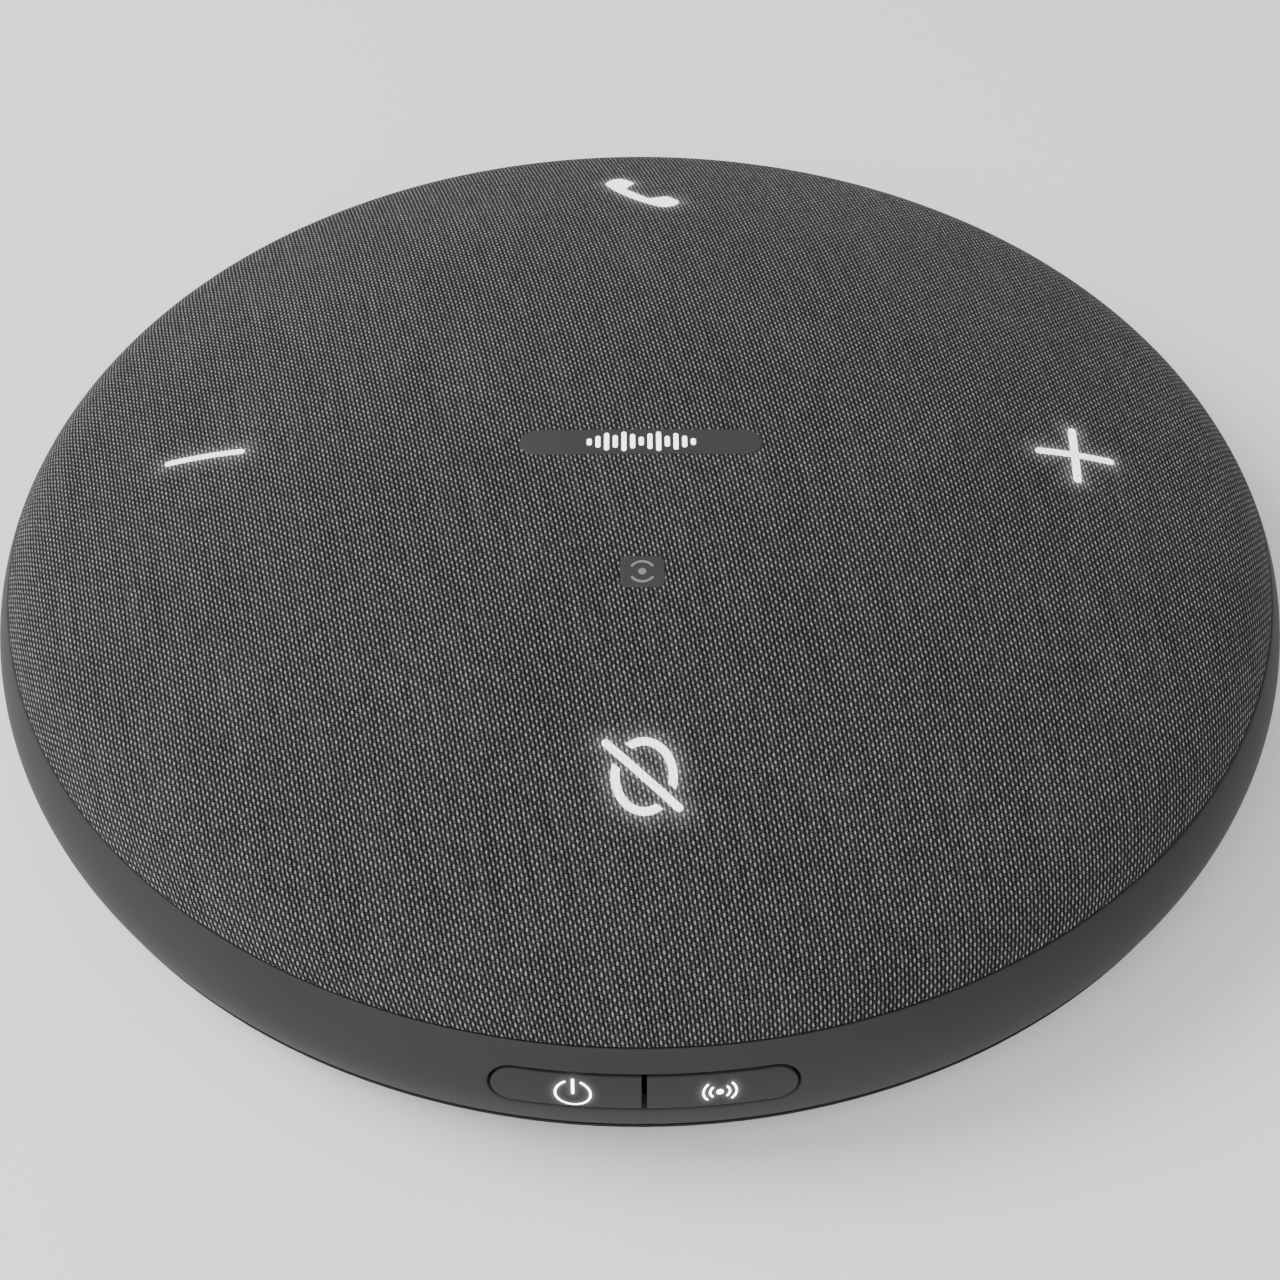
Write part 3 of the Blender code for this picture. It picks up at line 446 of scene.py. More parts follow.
def cross(centre, half_length, half_width, cap=10):
    """Two equal round-ended bars that cross, as one outline."""
    arm = np.vstack((arc((half_length - half_width, 0), half_width, -math.pi / 2, math.pi / 2, cap),
                     [(half_width, half_width)]))
    return np.vstack([turned(arm, quarter * math.pi / 2) for quarter in range(4)]) + np.asarray(centre)


def rounded_box(centre, half_width, half_height):
    """A rectangle with rounded corners."""
    corner, points = 0.7 * MM, []
    for quarter, (sx, sy) in enumerate(((1, 1), (-1, 1), (-1, -1), (1, -1))):
        middle = (centre[0] + sx * (half_width - corner), centre[1] + sy * (half_height - corner))
        points.append(arc(middle, corner, quarter * math.pi / 2, (quarter + 1) * math.pi / 2, 6))
    return np.vstack(points)


def handset(centre):
    """A telephone handset seen from the side: a bowed grip with a deeper block at each end."""
    u = np.linspace(-5.4, 5.4, 45)
    rise = np.clip((np.abs(u) - 1.9) / 1.1, 0, 1)
    block = rise * rise * (3 - 2 * rise)
    bottom = -2.5 + u * u / 30
    top = -1.15 + 2.1 * block
    past = np.clip(np.abs(u) / 5.4 - 0.82, 0, 1) / 0.18
    spread = np.sqrt(np.clip(1 - past * past, 0, 1))
    middle = (bottom + top) / 2
    lower = np.column_stack((u, middle - (middle - bottom) * spread))
    upper = np.column_stack((u, middle + (top - middle) * spread))[1:-1][::-1]
    return turned(np.vstack((lower, upper)) * MM, math.atan2(-6.6, 5.6), centre)


def bent_bar(centre, radius, half_width, start, end, count=24):
    """A bar bent along part of a circle, with round ends."""
    cap = 6
    line = arc((0.0, 0.0), radius, start, end, count)
    way = np.gradient(line, axis=0)
    way /= np.hypot(*way.T)[:, None]
    side = np.column_stack((way[:, 1], -way[:, 0])) * half_width
    first, last = math.atan2(*-side[0][::-1]), math.atan2(*side[-1][::-1])
    start_cap = arc(line[0], half_width, first, first + math.pi, cap)[1:-1]
    end_cap = arc(line[-1], half_width, last, last + math.pi, cap)[1:-1]
    outline = np.vstack((start_cap, line + side, end_cap, (line - side)[::-1]))
    return outline + np.asarray(centre)


def half_ring(centre, outer, inner, angle, offset, side):
    """The part of an oval ring on one side of a slash through its middle, and at least offset from it."""
    away = side * np.array((-math.sin(angle), math.cos(angle)))
    runs = []
    for radii in (outer, inner):
        points = closed_arc((0.0, 0.0), 1.0, 180) * radii
        kept = points @ away > offset
        first = np.flatnonzero(kept & ~np.roll(kept, 1))[0]
        runs.append(np.roll(points, -first, axis=0)[:kept.sum()][::3])
    return np.vstack((runs[0], runs[1][::-1])) + np.asarray(centre)


def mute_pieces():
    """The mute sign: an oval cut by a slash, with a gap on each side of it."""
    angle = math.atan2(-6.6, 6.95)
    slash = bar(SLASH_CENTRE, 4.75 * MM, 0.37 * MM, angle)
    outer, inner = (2.94 * MM, 3.64 * MM), (2.16 * MM, 2.87 * MM)
    halves = [half_ring(MUTE_CENTRE, outer, inner, angle, 0.92 * MM, side) for side in (1, -1)]
    return [slash, *halves]


# --- Curved sheets ---


def dome_surface(flat, depth):
    """Where a point of the flat cloth lies on the dome, depth below its surface."""
    flat = np.atleast_2d(flat)
    depth = np.broadcast_to(depth, len(flat))
    run = np.hypot(flat[:, 0], flat[:, 1])
    on_crown = run <= CROWN_ARC
    angle = np.where(on_crown, run / CROWN_RADIUS, CROWN_END + (run - CROWN_ARC) / SHOULDER_RADIUS)
    radius = np.where(on_crown, (CROWN_RADIUS - depth) * np.sin(angle),
                      SHOULDER_X + (SHOULDER_RADIUS - depth) * np.sin(angle))
    height = np.where(on_crown, CROWN_Z + (CROWN_RADIUS - depth) * np.cos(angle),
                      SHOULDER_Z + (SHOULDER_RADIUS - depth) * np.cos(angle))
    way = flat / np.maximum(run, 1e-12)[:, None]
    return np.column_stack((way * radius[:, None], height))


def on_cloth(points):
    """Points given in plan, moved to where they lie on the flat cloth."""
    points = np.asarray(points, float)
    radius = np.hypot(*points.T)
    run = CROWN_RADIUS * np.arcsin(radius / CROWN_RADIUS)
    return points * (run / np.maximum(radius, 1e-12))[:, None]


def rim_surface(unrolled, depth):
    """Where a point of the unrolled rim lies: along it from the front, and up it from its widest line."""
    unrolled = np.atleast_2d(unrolled)
    around = unrolled[:, 0] / RIM_WIDEST_RADIUS
    tilt = unrolled[:, 1] / RIM_ARC
    radius = RIM_ARC_X + (RIM_ARC - depth) * np.cos(tilt)
    height = RIM_ARC_Z + (RIM_ARC - depth) * np.sin(tilt)
    return np.column_stack((radius * np.sin(around), -radius * np.cos(around), height))


def on_rim(points):
    """Points seen from the front, as x and z, moved to the unrolled rim."""
    points = np.asarray(points, float)
    tilt = np.arcsin((points[:, 1] - RIM_ARC_Z) / RIM_ARC)
    around = np.arcsin(points[:, 0] / (RIM_ARC_X + RIM_ARC * np.cos(tilt)))
    return np.column_stack((around * RIM_WIDEST_RADIUS, tilt * RIM_ARC))


def inside(points, outline):
    """Which points lie inside a closed outline."""
    x, y = points.T
    found = np.zeros(len(points), bool)
    for (x1, y1), (x2, y2) in zip(outline, np.roll(outline, -1, axis=0)):
        crosses = (y1 > y) != (y2 > y)
        if y1 != y2:
            found ^= crosses & (x < (x2 - x1) * (y - y1) / (y2 - y1) + x1)
    return found


def distance_to(points, outline):
    """Each point's distance to a closed outline."""
    nearest = np.full(len(points), np.inf)
    for start, end in zip(outline, np.roll(outline, -1, axis=0)):
        way = end - start
        share = np.clip(((points - start) @ way) / max(way @ way, 1e-18), 0, 1)
        gap = np.hypot(*(points - start - share[:, None] * way).T)
        nearest = np.minimum(nearest, gap)
    return nearest


def grid_in(outline, step):
    """Points on a staggered grid inside an outline, clear of its edge."""
    low, high = outline.min(axis=0), outline.max(axis=0)
    rows = []
    for number, height in enumerate(np.arange(low[1], high[1], step * 0.87)):
        across = np.arange(low[0] + (number % 2) * step / 2, high[0], step)
        rows.append(np.column_stack((across, np.full(len(across), height))))
    return clear_of(np.vstack(rows), outline, step)


def clear_of(points, outline, step, holes=()):
    """The points inside an outline and outside its holes, more than half a step from their edges."""
    keep = inside(points, outline) & (distance_to(points, outline) > step * 0.5)
    for hole in holes:
        keep &= ~inside(points, hole) & (distance_to(points, hole) > step * 0.5)
    return points[keep]


def loop_sides(loops, first=0):
    """The pairs of neighbouring points round each loop, when the loops' points are numbered on from first."""
    sides = []
    for loop in loops:
        count = len(loop)
        sides += [(first + i, first + (i + 1) % count) for i in range(count)]
        first += count
    return sides


def tiles(loops, inner):
    """Anticlockwise triangles over the area inside the first loop and outside the others.

    They are worked out in millimetres, because the triangulation needs numbers near one.
    """
    points = np.vstack([*loops, inner]) / MM
    made, _, faces, sources = delaunay_2d_cdt([Vector(p) for p in points], loop_sides(loops), [], 0, 1e-9)[:4]
    if len(made) != len(points):
        raise ValueError("an outline crosses itself or repeats a point")
    order = np.array([source[0] for source in sources])
    faces = order[np.array(faces)]
    middles = points[faces].mean(axis=1)
    keep = inside(middles, loops[0] / MM)
    for hole in loops[1:]:
        keep &= ~inside(middles, hole / MM)
    faces = faces[keep]
    a, b, c = (points[faces[:, i]] for i in range(3))
    turned_over = np.cross(b - a, c - a) < 0
    faces[turned_over] = faces[turned_over][:, ::-1]
    return points * MM, faces


def anticlockwise(outline):
    """The outline, turned round if it runs clockwise."""
    x, y = outline.T
    area = (x * np.roll(y, -1) - np.roll(x, -1) * y).sum()
    return outline if area > 0 else outline[::-1]


def drawn_in(loops, edges):
    """Each loop moved by its edge's radius towards the material."""
    return [grown(loop / MM, -edge / MM) * MM for loop, edge in zip(loops, edges)]


def shell_mesh(name, surface, lower, upper, inner, edges, thickness, sides, lift=0.0):
    """A closed solid that follows a surface, lift above it and thickness deep.

    lower and upper are the same loops at the bottom and at the top. Each has an edge of the radius in edges,
    in four steps. sides are the pairs of their points that the edge is drawn along.
    """
    edge_steps = 4
    edge = np.concatenate([np.full(len(loop), radius) for loop, radius in zip(lower, edges)])
    flat, faces = tiles(upper, inner)
    count, rim_count = len(flat), len(edge)
    under = flat.copy()
    under[:rim_count] = np.vstack(lower)
    places, flats = [surface(flat, -lift), surface(under, thickness - lift)], [flat, under]
    starts = [0]
    for i in range(1, edge_steps + 1):
        angle = i * math.pi / 2 / edge_steps
        share = math.sin(angle)
        ring = flat[:rim_count] * (1 - share) + under[:rim_count] * share
        places.append(surface(ring, edge * (1 - math.cos(angle)) - lift))
        flats.append(ring)
        starts.append(2 * count + (i - 1) * rim_count)
    starts.append(count)
    quads = []
    for above, below in zip(starts, starts[1:]):
        quads += [(above + i, below + i, below + j, above + j) for i, j in sides]
    mesh = bpy.data.meshes.new(name)
    top, bottom = faces.tolist(), (faces[:, ::-1] + count).tolist()
    mesh.from_pydata(np.vstack(places).tolist(), [], top + bottom + quads)
    store_flat(mesh, np.vstack(flats))
    return mesh


def sheet_mesh(name, surface, outline, holes, inner, thickness, edge, lift=0.0, hole_edge=None):
    """A shell over the flat outline less its holes, with a rounded edge round each of them."""
    lower = [anticlockwise(outline)] + [anticlockwise(hole)[::-1] for hole in holes]
    edges = [edge] + [hole_edge or edge] * len(holes)
    upper = drawn_in(lower, edges)
    return shell_mesh(name, surface, lower, upper, inner, edges, thickness, loop_sides(lower), lift)


def store_flat(mesh, flat):
    """Keep each point's place on the flat cloth or the unrolled rim, for the materials."""
    data = mesh.attributes.new("flat", "FLOAT_VECTOR", "POINT").data
    data.foreach_set("vector", np.column_stack((flat, np.zeros(len(flat)))).ravel())


def store_glow(mesh, signs, reach, strength):
    """Light that spreads from the lit signs into the surface round them, fading over reach."""
    data = np.empty(len(mesh.vertices) * 3)
    mesh.attributes["flat"].data.foreach_get("vector", data)
    flat = data.reshape(-1, 3)[:, :2]
    glow = np.zeros(len(flat))
    for sign in signs:
        low, high = sign.min(axis=0) - 4 * reach, sign.max(axis=0) + 4 * reach
        near = ((flat > low) & (flat < high)).all(axis=1)
        gap = distance_to(flat[near], sign)
        gap[inside(flat[near], sign)] = 0.0
        glow[near] = np.maximum(glow[near], np.exp(-gap / reach) * strength)
    glow[glow < strength * 0.02] = 0.0
    mesh.attributes.new("glow", "FLOAT", "POINT").data.foreach_set("value", glow)


def mesh_of(name, shape):
    """The mesh that a bmesh holds, freeing the bmesh."""
    mesh = bpy.data.meshes.new(name)
    shape.to_mesh(mesh)
    shape.free()
    return mesh


def smooth(mesh, sharp):
    """Shade a mesh smooth, but for edges turned by more than sharp, in degrees."""
    mesh.shade_smooth()
    mesh.set_sharp_from_angle(angle=math.radians(sharp))


def tidy_mesh(mesh, weld=0.0005 * MM, sharp=50.0):
    """Join points that coincide, turn all faces outwards, and shade the mesh."""
    shape = bmesh.new()
    shape.from_mesh(mesh)
    bmesh.ops.remove_doubles(shape, verts=shape.verts, dist=weld)
    bmesh.ops.recalc_face_normals(shape, faces=shape.faces)
    shape.to_mesh(mesh)
    shape.free()
    smooth(mesh, sharp)


def add_piece(name, mesh, material, body, stands_for=()):
    """A finished piece that rides on a body and stands in for its CAD nodes."""
    piece = new_object(name, mesh)
    mesh.materials.clear()
    mesh.materials.append(material)
    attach(piece, body)
    if stands_for:
        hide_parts(*stands_for)
    return piece


def turned_mesh(name, profile, steps=192):
    """A closed turned solid from a profile that starts and ends on the axis, or is a closed ring."""
    profile = np.asarray(profile, float)
    angles = np.linspace(0, TAU, steps, endpoint=False)
    count = len(profile)
    places = np.array([(r * math.sin(a), -r * math.cos(a), z) for a in angles for r, z in profile])
    faces = []
    for i in range(steps):
        j = (i + 1) % steps
        for k in range(count):
            m = (k + 1) % count
            if profile[k][0] < 1e-9 and profile[m][0] < 1e-9:
                continue
            faces.append((i * count + k, j * count + k, j * count + m, i * count + m))
    mesh = bpy.data.meshes.new(name)
    mesh.from_pydata(places.tolist(), [], faces)
    tidy_mesh(mesh, sharp=40)
    return mesh


def rounded_profile(corners):
    """A profile from (radius, height, fillet) corners in millimetres, with each fillet drawn as an arc."""
    points, steps = [], 5
    count = len(corners)
    for i, (x, z, fillet) in enumerate(corners):
        here = np.array((x, z), float)
        if fillet <= 0:
            points.append(here)
            continue
        before = np.array(corners[i - 1][:2], float) - here
        after = np.array(corners[(i + 1) % count][:2], float) - here
        before /= np.hypot(*before)
        after /= np.hypot(*after)
        half = math.acos(np.clip(before @ after, -1, 1)) / 2
        centre = here + (before + after) / np.hypot(*(before + after)) * fillet / math.sin(half)
        start = here + before * fillet / math.tan(half) - centre
        end = here + after * fillet / math.tan(half) - centre
        sweep = math.pi - 2 * half
        for k in range(steps):
            share = k / (steps - 1)
            mixed = (start * math.sin((1 - share) * sweep) + end * math.sin(share * sweep)) / math.sin(sweep)
            points.append(centre + mixed)
    return np.array(points) * MM


# --- Pieces of the top ---


def settled(outline, side):
    """A volume sign, laid a little askew and bowed by the cloth it shines through."""
    outline = spaced(outline, SIGN_STEP)
    run = outline[:, 0] - side * SIGN_RADIUS
    outline[:, 0] += side * SIGN_LEAN * outline[:, 1]
    outline[:, 1] += side * SIGN_SKEW * run - SIGN_BOW * (run / SIGN_HALF) ** 2
    return outline


def sign_outlines():
    """The lit signs on the cloth, as outlines on the flat cloth, by CAD node."""
    drawn = {
        "volume_down_light_guide": [settled(bar((-SIGN_RADIUS, 0.32 * MM), 4.15 * MM, 0.36 * MM), -1)],
        "volume_up_light_guide": [settled(cross((SIGN_RADIUS, 0.05 * MM), SIGN_HALF, 0.42 * MM), 1)],
        "call_light_guide": [handset(CALL_CENTRE)],
        "mute_light_guide": mute_pieces(),
    }
    return {node: [on_cloth(spaced(part, SIGN_STEP)) for part in parts] for node, parts in drawn.items()}


def cloth_points(limit, signs):
    """Rings of points over the flat cloth, closer at the shoulder, and fine patches round the signs."""
    points, run = [np.zeros((1, 2))], 0.0
    while True:
        step = 1.0 * MM if run < CROWN_ARC - 2 * MM else 0.6 * MM
        run += step
        if run > limit - 0.4 * MM:
            break
        count = int(TAU * run / (1.0 * MM)) + 6
        points.append(closed_arc((0, 0), run, count))
    points = np.vstack(points)
    patches = []
    for outlines in signs.values():
        low = np.vstack(outlines).min(axis=0) - 2.5 * MM
        high = np.vstack(outlines).max(axis=0) + 2.5 * MM
        points = points[~((points > low) & (points < high)).all(axis=1)]
        box = np.array([low, (high[0], low[1]), high, (low[0], high[1])])
        patches.append(grid_in(box, 0.4 * MM))
    points = np.vstack([points, *patches])
    return points[np.hypot(*points.T) < limit - 0.4 * MM]


def make_cloth(material, signs):
    """The woven cover, cut from a flat disc, drawn over the dome, and open round the name plate and badge."""
    limit = CLOTH_RADIUS - SEAM_GAP
    edge = closed_arc((0, 0), limit, 420)
    plate = grown(on_cloth(plate_outline()), PLATE_GAP)
    badge = spaced(grown(on_cloth(rounded_box(BADGE_CENTRE, *BADGE_HALF)), PLATE_GAP), 0.4 * MM)
    inner = clear_of(cloth_points(limit, signs), edge, 0.8 * MM, (plate, badge))
    mesh = sheet_mesh("cover_cloth", dome_surface, edge, (plate, badge), inner, 0.6 * MM, 0.15 * MM,
                      hole_edge=0.04 * MM)
    tidy_mesh(mesh)
    store_glow(mesh, [outline for outlines in signs.values() for outline in outlines], 0.6 * MM, 0.5)
    cloth = add_piece("cover_cloth", mesh, material, "housing", ("fabric_cover",))


def make_sign(name, outlines, material, body, surface, lift, thickness, stands_for=()):
    """Join a sign's parts, each a thin film with a rounded edge, into one piece."""
    shape = bmesh.new()
    for outline in outlines:
        outline = anticlockwise(spaced(outline, 0.25 * MM))
        inner = grid_in(outline, 0.3 * MM)
        part = sheet_mesh(name, surface, outline, (), inner, thickness, 0.05 * MM, lift)
        shape.from_mesh(part)
        bpy.data.meshes.remove(part)
    mesh = mesh_of(name, shape)
    tidy_mesh(mesh)
    add_piece(name, mesh, material, body, stands_for)


def make_plate(name, outline, material, node, step):
    """A smooth plate let into the cloth, its face just proud of it."""
    outline = spaced(on_cloth(outline), step)
    inner = grid_in(outline, step)
    mesh = sheet_mesh(name, dome_surface, outline, (), inner, 0.7 * MM, 0.05 * MM, 0.02 * MM)
    tidy_mesh(mesh)
    add_piece(name, mesh, material, "housing", (node,))


def plate_outline():
    """The name plate's outline, bowed a little so that it looks straight from the front."""
    outline = spaced(bar(NAMEPLATE_CENTRE, *NAMEPLATE_HALF, cap=14), 0.5 * MM)
    outline[:, 1] += PLATE_BOW * (outline[:, 0] / NAMEPLATE_HALF[0]) ** 2
    return outline


def level_bars():
    """A generic mark of sound-level bars, as wide and as tall as a small word."""
    heights = (0.35, 0.6, 0.9, 0.65, 1.0, 0.75, 0.45, 0.8, 1.0, 0.55, 0.85, 0.6, 0.35)
    step = 10.0 * MM / (len(heights) - 1)
    bars = []
    for i, height in enumerate(heights):
        x = NAMEPLATE_CENTRE[0] - 5.0 * MM + i * step
        bars.append(bar((x, NAMEPLATE_CENTRE[1]), 1.35 * MM * height, 0.24 * MM, math.pi / 2))
    return [on_cloth(outline) for outline in bars]


def tap_target():
    """A generic tap mark: a dot in a broken ring."""
    dot = closed_arc(BADGE_CENTRE, 0.38 * MM, 20)
    arcs = [bent_bar(BADGE_CENTRE, 1.15 * MM, 0.13 * MM, math.radians(start), math.radians(start + 110))
            for start in (35, 215)]
    return [on_cloth(outline) for outline in (dot, *arcs)]


def make_top(materials):
    """The cloth, its four lit signs, and the two plates with their marks."""
    signs = sign_outlines()
    make_cloth(materials["fabric_charcoal"], signs)
    for node, outlines in signs.items():
        name = node.replace("light_guide", "sign")
        make_sign(name, outlines, materials["sign"], "housing", dome_surface, 0.05 * MM, 0.25 * MM,
                  stands_for=(node,))
    plate = materials["plate_grey"]
    make_plate("name_plate", plate_outline(), plate, "nameplate", 0.5 * MM)
    make_plate("tap_plate", rounded_box(BADGE_CENTRE, *BADGE_HALF), plate, "tap_badge", 0.3 * MM)
    mark_lift, film = 0.06 * MM, 0.12 * MM
    # The name mark's white print is made to glow: painted light, as print is no lamp.
    for name, mark, ink in (("name", level_bars(), "white_print_painted_glow"), ("tap", tap_target(), "grey_print")):
        make_sign(name + "_plate_mark", mark, materials[ink], "housing", dome_surface, mark_lift, film)


# --- Rim and buttons ---


def opening_outline(gap):
    """The opening that both buttons fill, with a gap round them."""
    outline = bar((0.0, BUTTON_HEIGHT), BUTTON_HALF_LENGTH + gap, BUTTON_HALF_HEIGHT + gap, cap=24)
    return on_rim(spaced(outline, 0.5 * MM))


def inlet_hole():
    """The inlet's opening, on the unrolled rim half a turn from the front."""
    outline = on_rim(spaced(bar((0.0, INLET_HEIGHT), 4.75 * MM, 1.85 * MM, cap=16), 0.5 * MM))
    return outline + np.array((math.pi * RIM_WIDEST_RADIUS, 0.0))


def make_rim(material):
    """The barrel-shaped rim with its two openings, meshed unrolled and then rolled up.

    The strip's two ends meet, so they get no rounded edge.
    """
    start, turn = -math.pi / 2 * RIM_WIDEST_RADIUS, TAU * RIM_WIDEST_RADIUS
    bottom, top = -RIM_LOWER_TILT * RIM_ARC, RIM_UPPER_TILT * RIM_ARC
    columns, rows = 360, 20
    xs = start + turn * np.arange(columns + 1) / columns
    ys = np.linspace(bottom, top, rows + 1)
    outline = np.array([(x, bottom) for x in xs] + [(xs[-1], y) for y in ys[1:-1]]
                       + [(x, top) for x in xs[::-1]] + [(xs[0], y) for y in ys[-2:0:-1]])
    holes = [opening_outline(BUTTON_GAP), inlet_hole()]
    inner = np.array([(x, y) for x in xs[1:-1] for y in ys[1:-1]])
    for hole in holes:
        inner = inner[~inside(inner, hole) & (distance_to(inner, hole) > 0.3 * MM)]
    edge, shrunk = 0.2 * MM, outline.copy()
    shrunk[:, 1] = np.clip(shrunk[:, 1], bottom + edge, top - edge)
    lower = [anticlockwise(hole)[::-1] for hole in holes]
    edges = [edge] * (1 + len(holes))
    upper = [shrunk, *drawn_in(lower, edges[1:])]
    sides = [(first + i, first + i + 1) for first in (0, columns + rows) for i in range(columns)]
    sides += loop_sides(lower, len(outline))
    mesh = shell_mesh("rim_shell", rim_surface, [outline, *lower], upper, inner, edges, 1.6 * MM, sides)
    tidy_mesh(mesh, 0.002 * MM)
    add_piece("rim_shell", mesh, material, "housing", ("rim_housing",))


def power_outlines():
    """The power sign: a ring open at the top with a short bar in the opening."""
    centre = (POWER_SIGN_X, BUTTON_HEIGHT - 0.1 * MM)
    gap = math.radians(27)
    ring = bent_bar(centre, 1.52 * MM, 0.1 * MM, math.pi / 2 + gap, math.pi / 2 - gap + TAU, 48)
    stem = bar((centre[0], centre[1] + 0.85 * MM), 0.9 * MM, 0.13 * MM, math.pi / 2)
    return [on_rim(ring), on_rim(stem)]


def pairing_outlines():
    """A generic wireless sign: a dot between two pairs of arcs."""
    centre = (PAIRING_SIGN_X, BUTTON_HEIGHT)
    half = math.radians(42)
    outlines = [closed_arc(centre, 0.32 * MM, 20)]
    for radius in (0.85 * MM, 1.42 * MM):
        for side in (0, math.pi):
            outlines.append(bent_bar(centre, radius, 0.1 * MM, side - half, side + half))
    return [on_rim(outline) for outline in outlines]


def button_outline(side):
    """Half of the button bar: straight at the middle, round at the end."""
    half_height = BUTTON_HALF_HEIGHT
    reach = BUTTON_HALF_LENGTH - half_height
    end = arc((reach, BUTTON_HEIGHT), half_height, -math.pi / 2, math.pi / 2, 24)
    outline = np.vstack(([(BUTTON_SPLIT, BUTTON_HEIGHT - half_height)], end,
                         [(BUTTON_SPLIT, BUTTON_HEIGHT + half_height)]))
    outline[:, 0] *= side
    return anticlockwise(on_rim(spaced(anticlockwise(outline), 0.4 * MM)))


def make_button(name, side, sign, materials):
    """A button cap that follows the rim, and its lit sign."""
    body = name + "_button"
    outline = button_outline(side)
    inner = grid_in(outline, 0.35 * MM)
    mesh = sheet_mesh(body, rim_surface, outline, (), inner, 1.5 * MM, 0.12 * MM)
    tidy_mesh(mesh)
    store_glow(mesh, sign, 0.22 * MM, 0.16)
    add_piece(name + "_cap", mesh, materials["cap"], body, (body,))
    make_sign(name + "_sign", sign, materials["bright_sign"], body, rim_surface, 0.02 * MM, 0.1 * MM,
              stands_for=(name + "_light_guide",))


# --- Base, foot and inlet ---


def cut(piece_mesh, cutter_mesh):
    """The first mesh less the second."""
    piece, cutter = new_object("cut_piece", piece_mesh), new_object("cut_tool", cutter_mesh)
    modifier = piece.modifiers.new("cut", "BOOLEAN")
    modifier.operation = "DIFFERENCE"
    modifier.object = cutter
    view = bpy.context.evaluated_depsgraph_get()
    mesh = bpy.data.meshes.new_from_object(piece.evaluated_get(view))
    for item in (piece, cutter):
        bpy.data.objects.remove(item, do_unlink=True)
    return mesh


def prism_mesh(outline, bottom, top):
    """An outline drawn upwards from one height to another."""
    count = len(outline)
    places = [(x, y, z) for z in (bottom, top) for x, y in outline]
    faces = [tuple(reversed(range(count))), tuple(range(count, 2 * count))]
    faces += [(i, (i + 1) % count, count + (i + 1) % count, count + i) for i in range(count)]
    mesh = bpy.data.meshes.new("prism")
    mesh.from_pydata(places, [], faces)
    return mesh


def screw_places():
    """Where the four base screws stand, in plan."""
    return [turned((SCREW_CIRCLE, 0.0), math.radians(45 + 90 * number)) for number in range(4)]


def rods_mesh(places, radius, bottom, top):
    """Upright rods, as a tool to cut with."""
    shape = bmesh.new()
    for x, y in places:
        place = Matrix.Translation((x, y, (bottom + top) / 2))
        bmesh.ops.create_cone(shape, cap_ends=True, segments=48, radius1=radius, radius2=radius,
                              depth=top - bottom, matrix=place)
    return mesh_of("rods", shape)


def make_base(material):
    """The tapered base, rounded where it meets the rim and the floor plate, with four screw wells."""
    corners = [(0, 3.6, 0), (56.6, 3.6, 0), (61.3, 5.3, 0), (63.95, 5.35, 0.15), (62.5, 3.4, 3.0),
               (57.6, 1.5, 2.0), (54.35, 1.5, 0.25), (54.35, 2.6, 0), (46.65, 2.6, 0), (46.65, 1.5, 0.25),
               (0, 1.5, 0)]
    mesh = turned_mesh("base_body", rounded_profile(corners))
    mesh = cut(mesh, rods_mesh(screw_places(), 2.85 * MM, 0.0, 2.9 * MM))
    smooth(mesh, 30)
    add_piece("base_body", mesh, material, "housing", ("base_shell",))


def make_foot(material):
    """The rubber ring the object stands on, with a shallow groove round its underside."""
    corners = [(54.0, 2.3, 0), (54.0, 0.0, 0.5), (51.2, 0.0, 0.2), (50.9, 0.35, 0.15), (50.1, 0.35, 0.15),
               (49.8, 0.0, 0.2), (47.0, 0.0, 0.5), (47.0, 2.3, 0)]
    mesh = turned_mesh("foot_pad", rounded_profile(corners))
    add_piece("foot_pad", mesh, material, "housing", ("foot_ring",))


def make_base_screws(material):
    """Pan-head screws with a cross recess, one for each CAD screw."""
    head = rounded_profile([(0, 2.6, 0), (2.5, 2.6, 0), (2.5, 1.6, 0.5), (0, 1.6, 0)])
    for number, (x, y) in enumerate(screw_places(), 1):
        recess = turned(cross((0.0, 0.0), 1.35 * MM, 0.3 * MM, 5), number * 0.8)
        mesh = cut(turned_mesh("screw", head, 48), prism_mesh(recess, 1.0 * MM, 2.2 * MM))
        mesh.transform(Matrix.Translation((x, y, 0)))
        smooth(mesh, 30)
        name = f"base_screw_{number}"
        add_piece(name + "_head", mesh, material, "housing", (name,))


def ring_loft(name, rings):
    """Join rings of equally many points, one after another, and close both ends."""
    count = len(rings[0])
    faces = [tuple(range(count)), tuple(reversed(range((len(rings) - 1) * count, len(rings) * count)))]
    for k in range(len(rings) - 1):
        for i in range(count):
            j = (i + 1) % count
            faces.append((k * count + i, (k + 1) * count + i, (k + 1) * count + j, k * count + j))
    mesh = bpy.data.meshes.new(name)
    mesh.from_pydata(np.vstack(rings).tolist(), [], faces)
    tidy_mesh(mesh, sharp=40)
    return mesh


def inlet_ring(grow, y):
    """A pill-shaped ring round the inlet's axis, grown and set back to y."""
    outline = bar((0.0, INLET_HEIGHT), 4.47 * MM + grow, 1.6 * MM + grow, cap=14)
    return np.column_stack((outline[:, 0], np.full(len(outline), y), outline[:, 1]))


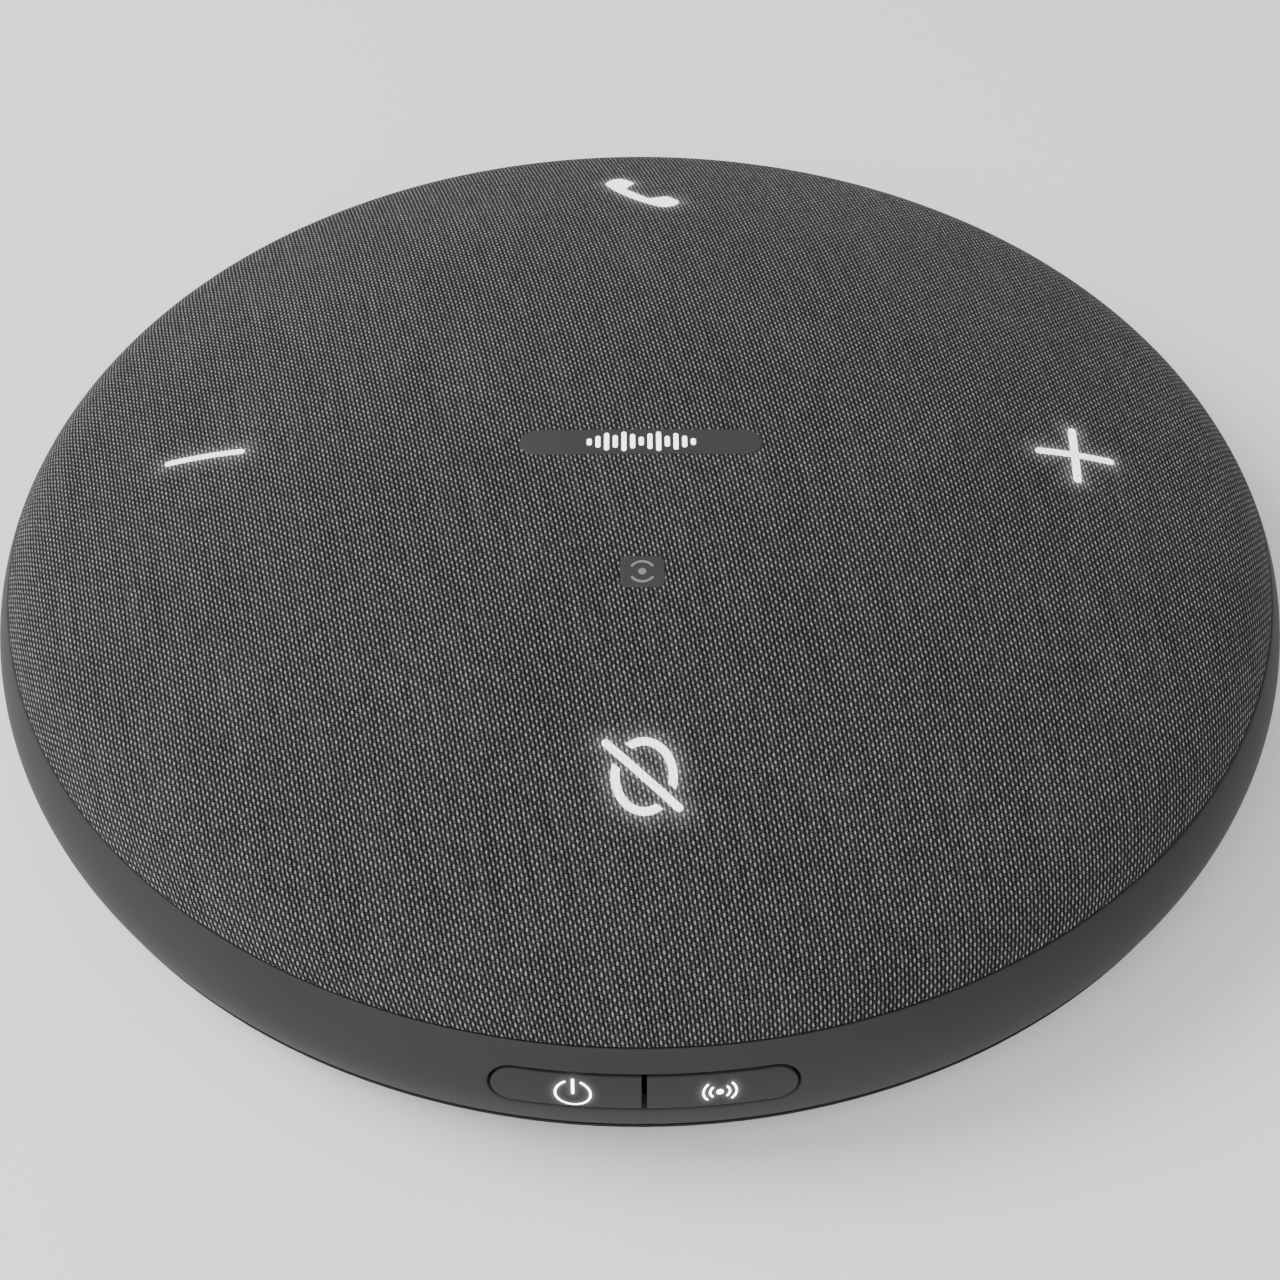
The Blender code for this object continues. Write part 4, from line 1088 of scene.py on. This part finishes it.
def make_inlet(steel, tongue_material, gold):
    """The charging inlet: a drawn shell with a rolled lip, its tongue, and a row of contacts on each side."""
    back, mouth, wall = 57.4 * MM, 64.0 * MM, 0.32 * MM
    lip = ((0.0, 0.12), (-0.05, 0.03), (-0.14, 0.0), (-0.26, 0.05))
    rings = [inlet_ring(0.0, back), *(inlet_ring(grow * MM, mouth - depth * MM) for grow, depth in lip),
             inlet_ring(-wall, mouth - 0.2 * MM), inlet_ring(-wall, back + 0.8 * MM)]
    add_piece("inlet_shell", ring_loft("inlet_shell", rings), steel, "housing", ("charging_inlet",))
    shape = bmesh.new()
    tongue_end = mouth - 1.0 * MM
    add_block(shape, (-3.35 * MM, back + 0.7 * MM, INLET_HEIGHT - 0.35 * MM),
              (3.35 * MM, tongue_end, INLET_HEIGHT + 0.35 * MM))
    bmesh.ops.bevel(shape, geom=shape.edges, offset=0.12 * MM, segments=3, profile=0.5, affect="EDGES")
    mesh = mesh_of("inlet_tongue", shape)
    tidy_mesh(mesh)
    add_piece("inlet_tongue", mesh, tongue_material, "housing")
    shape = bmesh.new()
    for i in range(12):
        x = (i - 5.5) * 0.5 * MM
        for side in (-1, 1):
            z = INLET_HEIGHT + side * 0.35 * MM
            add_block(shape, (x - 0.13 * MM, back + 1.6 * MM, z - 0.04 * MM),
                      (x + 0.13 * MM, tongue_end - 0.35 * MM, z + 0.04 * MM))
    add_piece("inlet_contacts", mesh_of("inlet_contacts", shape), gold, "housing")


def add_block(shape, low, high):
    """Add a block between two opposite corners to a bmesh."""
    low, high = Vector(low), Vector(high)
    place = Matrix.Translation((low + high) / 2) @ Matrix.Diagonal((*(high - low), 1.0))
    bmesh.ops.create_cube(shape, size=1.0, matrix=place)


# --- Everything ---


def make_materials():
    """The materials by slot, and a few more for pieces that don't look like their slot."""
    black = (0.012, 0.012, 0.013)
    grey = (0.037, 0.037, 0.038)
    return {
        "fabric_charcoal": cloth_material(),
        "sign": sign_material("lit_sign", 3.2, 0.5),
        "bright_sign": sign_material("bright_sign", 9.0, 0.02),
        "plate_grey": moulded_material("plate_plastic", (0.040, 0.040, 0.041), 0.42, 0.12 * MM, 0.000004),
        # Painted glow: the white print on the name plate emits light, though print is no lamp.
        "white_print_painted_glow": sign_material("white_print_painted_glow", 3.0, 0.02),
        "grey_print": moulded_material("grey_print", (0.20, 0.20, 0.20), 0.4, 0.15 * MM, 0.000003),
        "rim_grey": moulded_material("rim_plastic", grey, 0.6, 0.16 * MM, 0.000006, 0.12),
        "cap": moulded_material("cap_plastic", grey, 0.6, 0.16 * MM, 0.000005, 0.12, glow=True),
        "black_plastic": moulded_material("black_moulding", black, 0.55, 0.18 * MM, 0.00001),
        "black_rubber": rubber_material("foot_rubber", (0.028, 0.028, 0.028)),
        "steel": metal_material("plated_steel", (0.60, 0.60, 0.62), 0.3, (1.0, 8.0, 1.0)),
        "gold": metal_material("gold_contacts", (0.85, 0.62, 0.28), 0.25, (1.0, 8.0, 1.0)),
        "copper": metal_material("copper_winding", (0.72, 0.35, 0.18), 0.3, (1.0, 1.0, 12.0)),
        "ferrite": pressed_material("ferrite", (0.06, 0.055, 0.055), 0.7, 900.0, 0.00002),
        "board_green": board_material("board_mask", (0.004, 0.016, 0.010), (0.007, 0.030, 0.018)),
        "black_foam": pressed_material("gasket_foam", (0.03, 0.03, 0.03), 0.98, 1500.0, 0.0001),
        "cone_paper": pressed_material("cone_paper", (0.05, 0.05, 0.055), 0.85, 700.0, 0.00004),
        "spider_cloth": pressed_material("spider_cloth", (0.55, 0.38, 0.12), 0.9, 1800.0, 0.00006),
        "battery_wrap": moulded_material("battery_wrap", (0.32, 0.33, 0.36), 0.38, 0.6 * MM, 0.00002),
        "lit_white": moulded_material("milky_plastic", (0.30, 0.30, 0.29), 0.45, 0.2 * MM, 0.000006),
        "flex_film": moulded_material("flex_film", (0.35, 0.18, 0.05), 0.4, 0.4 * MM, 0.000008),
    }


def dress_nodes(materials):
    """Give every CAD node the material of its slot."""
    slots = {part["node"]: part["material_slot"] for part in frame["record"]["subparts"]}
    for name, node in frame["nodes"].items():
        material = materials[slots[name]]
        if not node.material_slots:
            node.data.materials.append(material)
        for place in node.material_slots:
            place.material = material


make_camera()
make_studio()
MATERIALS = make_materials()
dress_nodes(MATERIALS)
make_top(MATERIALS)
make_rim(MATERIALS["rim_grey"])
make_button("power", -1, power_outlines(), MATERIALS)
make_button("pairing", 1, pairing_outlines(), MATERIALS)
make_base(MATERIALS["black_plastic"])
make_foot(MATERIALS["black_rubber"])
make_base_screws(MATERIALS["steel"])
make_inlet(MATERIALS["steel"], MATERIALS["black_plastic"], MATERIALS["gold"])
